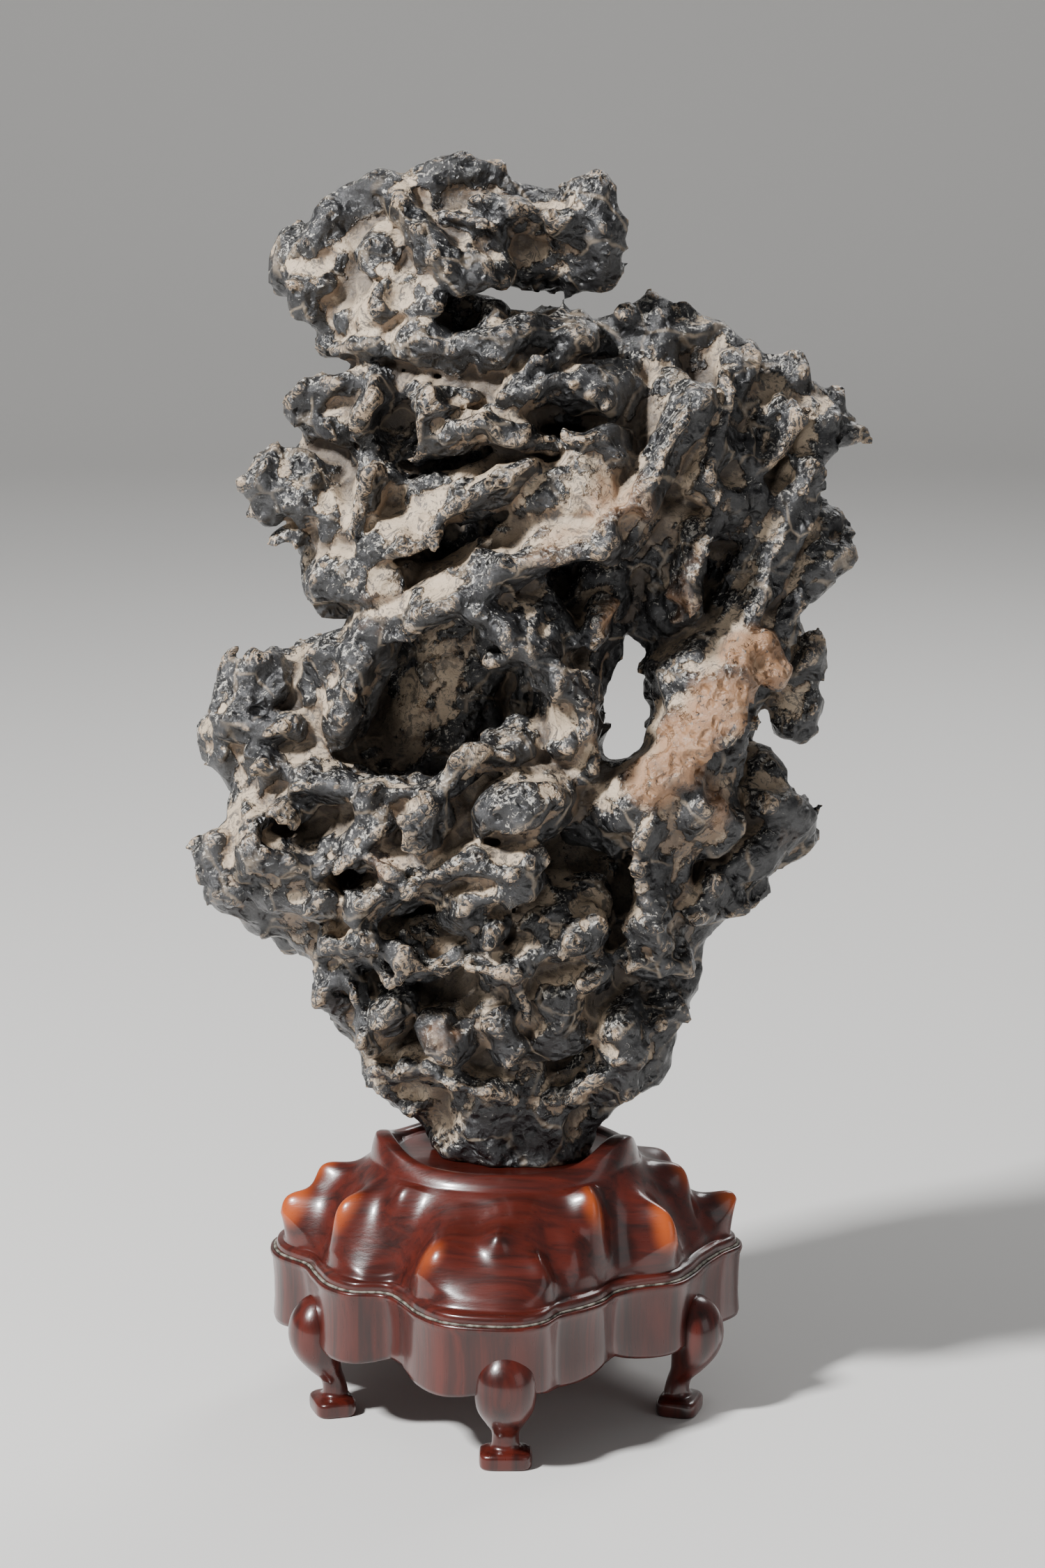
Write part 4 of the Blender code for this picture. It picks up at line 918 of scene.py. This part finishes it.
def stone_material():
    made, tree, shader = new_material("limestone")
    place_on = object_vector(tree)
    near, wide, stain, key_facing = (
        measure_of(tree, name) for name in ("hollow_near", "hollow_wide", "stain", "key_light_facing")
    )
    veins = add_node(tree, "ShaderNodeGroup", {"node_tree": vein_group()}, i0=place_on)
    blotch = noise(tree, swirled(tree, place_on, 16.0, 0.03), 24.0, 6.0, 0.62)
    mottle = noise(tree, place_on, 110.0, 5.0, 0.65)
    swirl = noise(tree, swirled(tree, place_on, 70.0, 0.03), 230.0, 8.0, 0.75, 1.0)
    crackle = noise(tree, swirled(tree, place_on, 160.0, 0.008), 480.0, 6.0, 0.7)
    off_centre = calc(tree, "SUBTRACT", blotch, 0.5)
    off_fine = calc(tree, "SUBTRACT", mottle, 0.5)

    # painted light: how far each point faces the key light, varied by the blotch; faces towards it also show
    # a little more matrix
    lit = plus(tree, key_facing, off_centre, 1.3)
    knob = plus(tree, near, off_centre, 0.85)
    knob = plus(tree, knob, ramp(tree, lit, *TOWARD_KEY_LIGHT), 0.10)
    knob = ramp(tree, plus(tree, knob, off_fine, 0.50), *KNOB_EDGE)

    rock = mix_colour(tree, ramp(tree, mottle, *SLATE_FROM), BLACK, SLATE)
    # partly the stone's pale speckle, partly painted glints that grow on the side facing the key light
    glinting = plus(tree, crackle, ramp(tree, lit, *GLINTS_IN_LIGHT), 0.13)
    rock = mix_colour(tree, times(tree, ramp(tree, glinting, *SPECKS), 0.85), rock, GLINT)
    matrix = mix_colour(tree, ramp(tree, blotch, *TAN_FROM), BROWN, TAN)
    # painted light: the matrix turns cream where it faces the key light
    matrix = mix_colour(tree, ramp(tree, plus(tree, lit, off_fine, 1.6), *CREAM_IN_LIGHT), matrix, CREAM)
    matrix = mix_colour(tree, times(tree, ramp(tree, swirl, *HAIRS), 0.80), matrix, SLATE)
    # painted shade: the matrix darkens to brown in deep hollows
    matrix = mix_colour(tree, times(tree, ramp(tree, wide, *HOLLOW_SHADE), 0.80), matrix, BROWN)
    colour = mix_colour(tree, knob, matrix, rock)

    rim = times(tree, times(tree, knob, calc(tree, "SUBTRACT", 1.0, knob)), 4.0)
    rim = times(tree, rim, ramp(tree, near, *RIM_NEAR))
    crest = times(tree, ramp(tree, near, *THIN_CREST), ramp(tree, swirl, *CREST_GRAIN))
    pale = times(tree, calc(tree, "MAXIMUM", rim, crest), 0.75)
    colour = mix_colour(tree, pale, colour, mix_colour(tree, blotch, CREAM, RIM))
    colour = mix_colour(tree, times(tree, veins.outputs[0], 0.35), colour, CREAM)
    stained = ramp(tree, plus(tree, stain, off_centre, 1.1), *STAIN_EDGE)
    stained = times(tree, stained, ramp(tree, swirl, *STAIN_GRAIN))
    tan = mix_colour(tree, times(tree, ramp(tree, mottle, *STAIN_CREAM), 0.4), ORANGE, CREAM)
    colour = mix_colour(tree, times(tree, stained, 0.9), colour, tan)
    tree.links.new(colour, shader.inputs["Base Color"])

    matt = plus(tree, plus(tree, 0.50, knob, -0.26), stained, 0.12)
    tree.links.new(matt, shader.inputs["Roughness"])
    shader.inputs["Specular IOR Level"].default_value = 0.75

    pocks = ramp(tree, cells(tree, swirled(tree, place_on, 90.0, 0.010), 190.0), 0.0, 0.6)
    grain = bump(tree, crackle, 0.6, 0.0013)
    roughen(tree, shader, grain, bump(tree, times(tree, pocks, knob), 0.8, 0.0020))
    return made


def dress(item, look):
    item.data.materials.clear()
    item.data.materials.append(look)


dress(stone, stone_material())
print("stone dressed in", stone.data.materials[0].name)

# %% [markdown]
# The stand's top was carved from one board: a rounded rim, a slope with knobs like small roots that lean
# outwards, and a low lip round the socket that curls up like a leaf at both sides of the stone. A closed
# plan curve gives the rim, and rings shrink from it to the socket, so it is computed as one grid.

# %% The stand's plan and carving
PLAN = [
    (-180, 102), (-164, 91), (-152, 97), (-140, 97), (-128, 88), (-116, 93), (-104, 102), (-96, 103),
    (-88, 99), (-79, 89), (-70, 88), (-59, 89), (-50, 86), (-42, 77), (-33, 81), (-23, 92), (-15, 99),
    (-5, 101), (4, 101), (10, 96), (15, 87), (23, 83), (31, 79), (40, 73), (49, 75), (60, 84), (69, 86),
    (80, 88), (89, 94), (96, 103), (104, 102), (116, 93), (128, 88), (140, 97), (152, 97), (164, 91),
]
KNOBS = [
    (-89, -1, 13, 8, 8), (-75, 6, 9, 6, 7), (-66, -32, 10, 8, 8), (-43, -42, 4, 7, 7), (-30, -73, 8, 12, 9),
    (-3, -73, 5, 6, 6), (17, -80, 4.5, 7, 6), (29, -64, 3.5, 7, 7), (35, -49, 9.5, 7.5, 7.5),
    (65, -37, 12, 8, 8), (72, 0, 9, 7, 8), (93, 14, 13, 7, 7), (66, 30, 9, 9, 9), (-84, 32, 9, 8, 8),
    (-60, 52, 9, 10, 9), (-24, 72, 7, 10, 8), (20, 73, 8, 9, 8), (54, 58, 8, 8, 8), (88, 40, 6, 7, 7),
]
VALLEYS = [
    (-55, -55, 4, 12, 9), (-12, -62, 2.5, 9, 9), (46, -60, 4, 9, 9), (84, -22, 4, 9, 9), (-84, -22, 4, 8, 8),
    (0, 62, 3, 9, 9), (-45, 66, 4, 9, 8), (42, 70, 3, 8, 8),
]
LEAVES = [(-82.0, 22.0, 8.0), (68.0, 20.0, 10.0), (180.0, 40.0, 5.0)]
SOCKET_HALF = (49.0, 40.5)
LIP_HALF = (54.5, 46.0)
COLLAR_HALF = (58.5, 51.0)
KNOB_LEAN = 0.62
VALLEY_LEAN = 0.3
RIM_TOP = 69.5
PLATE_UNDER = 64.5
TURNS = 480
DEGREES = np.arange(TURNS) * 360.0 / TURNS


def eased(before, first, second, after, t):
    """Cubic from first to second, t from 0 to 1, with slopes (second - before) / 2, (after - first) / 2."""
    return (
        first * (2 * t**3 - 3 * t**2 + 1) + 0.5 * (second - before) * (t**3 - 2 * t**2 + t)
        + second * (3 * t**2 - 2 * t**3) + 0.5 * (after - first) * (t**3 - t**2)
    )


def rim_at(degrees):
    """Distance of the rim from the middle: a cubic through the plan's points, closed on itself."""
    angles, radii = np.array(PLAN, float).T
    turn = (np.asarray(degrees, float) + 180.0) % 360.0 - 180.0
    index = np.searchsorted(angles, turn, side="right") - 1
    ends = np.append(angles, angles[0] + 360.0)
    t = (turn - ends[index]) / (ends[index + 1] - ends[index])
    return eased(*(radii[(index + step) % len(radii)] for step in (-1, 0, 1, 2)), t)


def ring(radii, ups):
    """Points at distance r and height z all round: (r sin a, -r cos a, z), with a = 0 in front."""
    turn = np.radians(DEGREES)
    return np.stack([radii * np.sin(turn), -radii * np.cos(turn), np.broadcast_to(ups, turn.shape)], axis=1)


def oval(half):
    """Distance to an ellipse's edge: 1 / sqrt((sin a / p)^2 + (cos a / q)^2)."""
    turn = np.radians(DEGREES)
    return 1.0 / np.sqrt((np.sin(turn) / half[0]) ** 2 + (np.cos(turn) / half[1]) ** 2)


def leaf_rise():
    """Rise of the socket's lip above its front: a bell exp(-(away / width)^2) at each side and one behind."""
    rise = 0.0
    for middle, width, height in LEAVES:
        away = (DEGREES - middle + 180.0) % 360.0 - 180.0
        rise = rise + height * np.exp(-((away / width) ** 2))
    return rise


def carved(points):
    """Push (x, y, z) of the knobs, each a bell exp(-(far / size)^2) leaning out, less the valleys."""
    push = np.zeros_like(points)
    for bumps, sign, lean in ((KNOBS, 1.0, KNOB_LEAN), (VALLEYS, -1.0, VALLEY_LEAN)):
        for across, back, height, wide, deep in bumps:
            outward = np.array([across, back]) / math.hypot(across, back)
            off = points[:, :2] - np.array([across, back])
            along = off @ outward
            side = off @ np.array([-outward[1], outward[0]])
            bell = np.exp(-((along / deep) ** 2) - (side / wide) ** 2)
            way = np.array([*(outward * lean), math.sqrt(1.0 - lean * lean)])
            push += sign * height * bell[:, None] * way
    return push


print("rim from", round(rim_at(DEGREES).min(), 1), "to", round(rim_at(DEGREES).max(), 1), "mm")

# %% The carved top
SOCKET_FLOOR = STONE_BASE - 0.3
COLLAR_TOP = 108.0
RIM_INSET = 3.0
# steps round the rim's edge (in from the rim, up), and over the lip (share of the way in, up)
RIM_EDGE = [(14.0, PLATE_UNDER), (1.6, PLATE_UNDER), (0.7, 66.0), (1.2, 68.4), (RIM_INSET, RIM_TOP)]
LIP_EDGE = [(0.0, 0.0), (0.35, 2.5), (0.9, 5.0), (1.3, 6.0), (1.9, 5.6), (2.2, 3.0)]
SLOPE_ROWS = 75
SLOPE_SWELL = 0.38
MOAT = 1.6
MOAT_AT = 0.05
MOAT_WIDTH = 0.035
FADE_IN = 0.12
FADE_OUT = 0.1
LEAF_FOOT = 0.35
FULL_RUB_AND_HIGHLIGHT = 11.0
POLE = 0.02


def spread(stops, count):
    """Smooth path through a few stops, with count points, eased by a cubic between them."""
    stops = np.array(stops, float)
    spot = np.linspace(0.0, len(stops) - 1.0, count)
    index = np.minimum(spot.astype(int), len(stops) - 2)
    t = (spot - index)[:, None]
    ends = np.vstack([2 * stops[0] - stops[1], stops, 2 * stops[-1] - stops[-2]])
    return eased(*(ends[index + step] for step in range(4)), t)


def grid_faces(rows, columns, closed=False):
    """Four-sided faces of a grid whose columns close on themselves, and its rows too if asked."""
    number = np.arange(rows * columns).reshape(rows, columns)
    beside = np.roll(number, -1, axis=1)
    here, there = number[:-1], beside[:-1]
    above, above_there = number[1:], beside[1:]
    if closed:
        here, there = number, beside
        above, above_there = np.roll(number, -1, axis=0), np.roll(beside, -1, axis=0)
    return np.stack([here, there, above_there, above], axis=-1).reshape(-1, 4)


def close_poles(item):
    """Fills the small rings left open in the middle of the underside and of the socket's floor."""
    shape = bmesh.new()
    shape.from_mesh(item.data)
    bmesh.ops.holes_fill(shape, edges=[edge for edge in shape.edges if edge.is_boundary])
    bmesh.ops.recalc_face_normals(shape, faces=shape.faces)
    shape.to_mesh(item.data)
    shape.free()


def slope_ring(share, rim, collar):
    """Ring a share s of the way to the collar: up by (1 - w) s + w sin(pi s / 2), less the moat's bell."""
    swell = (1.0 - SLOPE_SWELL) * share + SLOPE_SWELL * math.sin(0.5 * math.pi * share)
    moat = MOAT * math.exp(-(((share - MOAT_AT) / MOAT_WIDTH) ** 2))
    across = (rim - RIM_INSET) * (1.0 - share) + collar * share
    return ring(across, RIM_TOP + (COLLAR_TOP - RIM_TOP) * swell - moat)


def make_top():
    """Rings from the middle of the underside round the rim, up the slope, over the lip, into the socket."""
    rim = rim_at(DEGREES)
    rise = leaf_rise()
    collar = oval(COLLAR_HALF) + 0.12 * rise
    lip = oval(LIP_HALF) + 0.30 * rise
    socket = oval(SOCKET_HALF)
    rings = [ring(rim * POLE, PLATE_UNDER)]
    rings += [ring(rim - inset, up) for inset, up in spread(RIM_EDGE, 22)]
    rub_and_highlight = [np.zeros(TURNS) for _ in rings]
    for share in np.linspace(0.0, 1.0, SLOPE_ROWS + 1)[1:]:
        points = slope_ring(share, rim, collar)
        push = carved(points) * min(1.0, share / FADE_IN) * min(1.0, (1.0 - share) / FADE_OUT)
        # size of the carving's push, later lightened to amber: partly stain rubbed thin, partly painted
        # highlight
        rub_and_highlight.append(np.linalg.norm(push, axis=1))
        points += push
        points[:, 2] += rise * share**12 * LEAF_FOOT
        rings.append(points)
    for inward, up in spread(LIP_EDGE, 20)[1:]:
        radius = collar + (lip - collar) * min(inward, 1.0) + (socket - lip) * max(inward - 1.0, 0.0) / 1.2
        leaf = LEAF_FOOT + (1.0 - LEAF_FOOT) * min(1.0, up / 5.0)
        rings.append(ring(radius, COLLAR_TOP + up + rise * leaf))
    rings.append(ring(socket, SOCKET_FLOOR + 1.0))
    rings.append(ring(socket - 1.5, SOCKET_FLOOR))
    rings.append(ring(socket * POLE, SOCKET_FLOOR))
    rub_and_highlight += [np.zeros(TURNS) for _ in range(len(rings) - len(rub_and_highlight))]
    top = mesh_from("carved_top", np.concatenate(rings), grid_faces(len(rings), TURNS))
    close_poles(top)
    # worn measure: partly rubbed stain, partly painted highlight on knobs and dents
    add_measure(top.data, "worn", np.clip(np.concatenate(rub_and_highlight) / FULL_RUB_AND_HIGHLIGHT, 0.0, 1.0))
    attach(top, "root")
    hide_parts("stand_top")
    return top


top = make_top()
print("carved top:", len(top.data.polygons), "faces")

# %% [markdown]
# Under the top hangs the apron, a lobed wall with a lip of its own that stands just outside the top's rim.
# Pale dust and old wax fill the groove between them. Its lower edge droops in two lobes between the legs.

# %% The apron and the groove
# each leg's turn from the front in degrees and its distance from the middle
LEGS = {
    "leg_front": (0.0, 94.0), "leg_right_front": (73.0, 84.5), "leg_right_back": (145.0, 91.0),
    "leg_left_back": (-145.0, 91.0), "leg_left_front": (-73.0, 84.5),
}
EDGE_HIGH = 40.0
EDGE_DROP = 7.5
TOP_GAP = 0.3
# the apron's section: out from the rim, share of the way from its lower edge to its top, and up
APRON_SECTION = [
    (-12.0, 1.0, 0.0), (-0.2, 1.0, 0.0), (0.1, 1.0, 0.1), (0.4, 1.0, 0.5), (1.1, 1.0, 0.9), (1.9, 1.0, 0.5),
    (2.2, 1.0, -0.6), (1.9, 1.0, -1.6), (1.1, 0.88, 0.0), (0.5, 0.6, 0.0), (0.4, 0.3, 0.0), (0.9, 0.06, 0.0),
    (0.4, 0.01, -0.3), (-1.2, 0.0, -0.5), (-5.5, 0.0, -0.4), (-9.0, 0.03, 0.0), (-11.0, 0.5, 0.0),
]
WAX_OUT = -0.15
WAX_UP = 0.7
WAX_HALF = (0.75, 0.6)


def edge_height():
    """Lower edge: high - drop * max(|sin 2 pi t|^0.7, 0.45 sin pi t), with t from one leg to the next."""
    stops = sorted(degrees for degrees, radius in LEGS.values())
    stops = np.array([*stops, stops[0] + 360.0])
    turn = (DEGREES - stops[0]) % 360.0 + stops[0]
    bay = np.clip(np.searchsorted(stops, turn, side="right") - 1, 0, len(stops) - 2)
    t = (turn - stops[bay]) / (stops[bay + 1] - stops[bay])
    lobes = np.abs(np.sin(2.0 * np.pi * t)) ** 0.7
    return EDGE_HIGH - EDGE_DROP * np.maximum(lobes, 0.45 * np.sin(np.pi * t))


def make_apron():
    """Closed section carried round the rim: (out, edge + (top - edge) * share + up)."""
    rim = rim_at(DEGREES)
    edge = edge_height()
    height = PLATE_UNDER - TOP_GAP - edge
    rings = [ring(rim + out, edge + height * share + up) for out, share, up in APRON_SECTION]
    faces = grid_faces(len(rings), TURNS, closed=True)[:, ::-1]
    apron = mesh_from("lobed_apron", np.concatenate(rings), faces)
    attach(apron, "root")
    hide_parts("stand_apron")
    return apron


def make_groove():
    """Thin fillet of wax and dust, half round, in the groove between the top and the apron."""
    rim = rim_at(DEGREES)
    turn = np.linspace(0.0, 2.0 * np.pi, 8, endpoint=False)
    wide, high = WAX_HALF
    rings = [
        ring(rim + WAX_OUT + wide * np.cos(angle), PLATE_UNDER + WAX_UP + high * np.sin(angle))
        for angle in turn
    ]
    groove = mesh_from("groove_wax", np.concatenate(rings), grid_faces(len(rings), TURNS, closed=True))
    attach(groove, "root")
    return groove


apron = make_apron()
groove = make_groove()
print("apron:", len(apron.data.polygons), "faces, groove:", len(groove.data.polygons), "faces")

# %% [markdown]
# Each leg is carved like a hoof: an egg-shaped knee stands out of the apron, a narrow ankle tucks in under
# it, and a rounded square pad spreads at the table. Level sections give its outline, turned to each place.

# %% The legs
# level sections: up, half-width, half-depth, outward shift and squareness
LEG_SECTIONS = [
    (0.0, 10.6, 8.4, -5.0, 4.0), (1.2, 11.2, 9.0, -5.0, 4.0), (5.2, 11.2, 9.0, -5.0, 4.0),
    (6.8, 10.2, 8.0, -5.3, 3.4), (7.8, 6.6, 6.0, -6.0, 2.4), (10.5, 5.8, 5.4, -6.2, 2.0),
    (15.0, 6.0, 5.4, -5.0, 2.0), (20.0, 8.4, 7.2, -1.6, 2.0), (26.0, 11.6, 9.6, 1.2, 2.0),
    (32.0, 13.0, 10.8, 2.8, 2.0), (38.0, 13.0, 10.8, 3.4, 2.0), (44.0, 11.8, 10.0, 3.0, 2.0),
    (49.0, 9.0, 8.0, 2.0, 2.0), (52.5, 5.6, 5.4, 0.6, 2.0), (54.3, 1.0, 1.0, -1.0, 2.0),
]
LEG_LEVELS = 72
LEG_TURNS = 64
KNEE_UP = 40.0
KNEE_RUB_AND_HIGHLIGHT = 0.35
KNEE_REACH = 16.0


def make_leg(name, degrees, radius):
    """Rounded section at each level: |x / w|^n + |y / d|^n = 1, shifted out and turned round the stand."""
    steps = np.arange(LEG_TURNS) * 2.0 * np.pi / LEG_TURNS
    rings = []
    for up, wide, deep, out, square in spread(LEG_SECTIONS, LEG_LEVELS):
        power = 2.0 / max(square, 2.0)
        x = wide * np.sign(np.sin(steps)) * np.abs(np.sin(steps)) ** power
        y = -(radius + out) - deep * np.sign(np.cos(steps)) * np.abs(np.cos(steps)) ** power
        rings.append(np.stack([x, y, np.full(LEG_TURNS, max(up, 0.0))], axis=1))
    middle = np.array([0.0, rings[0][:, 1].mean(), 0.0])
    rings.insert(0, middle + (rings[0] - middle) * [POLE, POLE, 1.0])
    points = np.concatenate(rings)
    turn = math.radians(degrees)
    turned = points.copy()
    turned[:, 0] = points[:, 0] * math.cos(turn) - points[:, 1] * math.sin(turn)
    turned[:, 1] = points[:, 0] * math.sin(turn) + points[:, 1] * math.cos(turn)
    leg = mesh_from(f"carved_{name}", turned, grid_faces(len(rings), LEG_TURNS))
    # knees lightened to amber: partly rubbed stain, partly painted highlight
    knee = np.clip(1.0 - np.abs(points[:, 2] - KNEE_UP) / KNEE_REACH, 0.0, 1.0)
    add_measure(leg.data, "worn", knee * KNEE_RUB_AND_HIGHLIGHT)
    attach(leg, "root")
    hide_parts(name)
    return leg


legs = [make_leg(name, *where) for name, where in LEGS.items()]
print(len(legs), "legs of", len(legs[0].data.polygons), "faces")

# %% [markdown]
# The wood is dense and close-grained, stained deep red-brown and polished. Where the carving stands out or
# dips furthest, on the knobs, the dents and the legs' knees, the colour turns orange, partly stain rubbed
# thin and partly painted highlight. The grain runs across the top and down the apron.

# %% The hardwood and the wax
SHADE = (0.022, 0.005, 0.004)
RED_BROWN = (0.090, 0.012, 0.007)
# amber of knobs and knees: partly rubbed stain, partly painted highlight
AMBER = (0.46, 0.085, 0.016)
WAX_DARK = (0.05, 0.04, 0.03)
WAX_PALE = (0.30, 0.29, 0.24)
GRAIN_ACROSS = (14.0, 160.0, 160.0)
GRAIN_DOWN = (150.0, 150.0, 9.0)


def hardwood(name, stretch):
    """Polished hardwood whose grain is drawn out along the axis with the smallest stretch."""
    made, tree, shader = new_material(name)
    place_on = object_vector(tree)
    drawn = add_node(tree, "ShaderNodeMapping", Vector=place_on, Scale=stretch).outputs[0]
    streak = noise(tree, drawn, 1.0, 6.0, 0.6, 0.6)
    fine = noise(tree, drawn, 4.5, 4.0, 0.7)
    cloud = noise(tree, place_on, 22.0, 3.0, 0.5)
    worn = measure_of(tree, "worn")
    colour = mix_colour(tree, ramp(tree, streak, 0.26, 0.66), SHADE, RED_BROWN)
    # amber on knobs, dents and knees: partly stain rubbed thin, partly painted highlight
    rub_and_highlight = ramp(tree, plus(tree, worn, calc(tree, "SUBTRACT", cloud, 0.5), 0.5), 0.38, 1.0)
    colour = mix_colour(tree, rub_and_highlight, colour, AMBER)
    pores = ramp(tree, fine, 0.60, 0.72)
    colour = mix_colour(tree, times(tree, pores, 0.65), colour, SHADE)
    tree.links.new(colour, shader.inputs["Base Color"])
    tree.links.new(ramp(tree, times(tree, fine, 0.12), -0.25, 0.6), shader.inputs["Roughness"])
    shader.inputs["Specular IOR Level"].default_value = 0.5
    shader.inputs["Coat Weight"].default_value = 0.5
    shader.inputs["Coat Roughness"].default_value = 0.12
    roughen(tree, shader, bump(tree, fine, 0.12, 0.0006), bump(tree, cloud, 0.25, 0.0010))
    return made


def wax():
    made, tree, shader = new_material("groove_wax")
    patchy = ramp(tree, noise(tree, object_vector(tree), 260.0, 4.0), 0.35, 0.65)
    tree.links.new(mix_colour(tree, patchy, WAX_DARK, WAX_PALE), shader.inputs["Base Color"])
    shader.inputs["Roughness"].default_value = 0.7
    return made


dress(top, hardwood("hardwood_top", GRAIN_ACROSS))
upright = hardwood("hardwood_upright", GRAIN_DOWN)
for item in (apron, *legs):
    dress(item, upright)
dress(groove, wax())
print("wood dressed")

# %% [markdown]
# A pale floor and soft light: a large key from the upper left and front, a weak fill from the right, and
# a light from behind that draws the outline.

# %% Stage and light
# each light's place, the point it looks at and its size, in metres, and its power in watts
LIGHTS = {
    "key": ((-1.5, -1.1, 2.0), (0.0, 0.0, 0.32), 0.28, 128.0),
    "fill": ((1.9, -1.6, 0.9), (0.0, 0.0, 0.25), 1.4, 5.0),
    "rim": ((0.9, 1.5, 1.6), (0.0, 0.0, 0.35), 0.8, 16.0),
}
AIR = (0.78, 0.78, 0.79, 1.0)
AIR_STRENGTH = 0.18
FLOOR_COLOUR = (0.80, 0.79, 0.77, 1.0)
FLOOR_FRONT = -3.0
FLOOR_HALF_WIDTH = 6.0
BEND_FROM = 3.0
BEND_RADIUS = 1.5
BACKDROP_TOP = 5.0


def add_light(name, spot, aim, size, power):
    data = bpy.data.lights.new(name, "AREA")
    data.shape = "RECTANGLE"
    data.size = data.size_y = size
    data.energy = power
    light = bpy.data.objects.new(name, data)
    light.location = spot
    direction = np.array(aim) - np.array(spot)
    flat = math.hypot(direction[0], direction[1])
    turn = math.atan2(direction[1], direction[0]) - math.pi / 2
    light.rotation_euler = (math.atan2(flat, -direction[2]), 0.0, turn)
    bpy.context.scene.collection.objects.link(light)


def make_floor():
    """Floor that bends up into a backdrop far behind, as one curved sheet: (r sin a, r - r cos a)."""
    turn = np.linspace(0.0, np.pi / 2.0, 24)
    curve = [(BEND_FROM + BEND_RADIUS * np.sin(a), BEND_RADIUS - BEND_RADIUS * np.cos(a)) for a in turn]
    profile = [(FLOOR_FRONT, 0.0), *curve, (BEND_FROM + BEND_RADIUS, BACKDROP_TOP)]
    points = np.array([(x, y, z) for y, z in profile for x in (-FLOOR_HALF_WIDTH, FLOOR_HALF_WIDTH)]) / MM
    number = np.arange(len(profile) - 1) * 2
    faces = np.stack([number, number + 1, number + 3, number + 2], axis=1)
    floor = mesh_from("floor", points, faces)
    made, tree, shader = new_material("floor")
    shader.inputs["Base Color"].default_value = FLOOR_COLOUR
    shader.inputs["Roughness"].default_value = 0.85
    dress(floor, made)


make_floor()
for name, settings in LIGHTS.items():
    add_light(name, *settings)
world = bpy.data.worlds.new("studio")
world.use_nodes = True
world.node_tree.nodes["Background"].inputs[0].default_value = AIR
world.node_tree.nodes["Background"].inputs[1].default_value = AIR_STRENGTH
bpy.context.scene.world = world
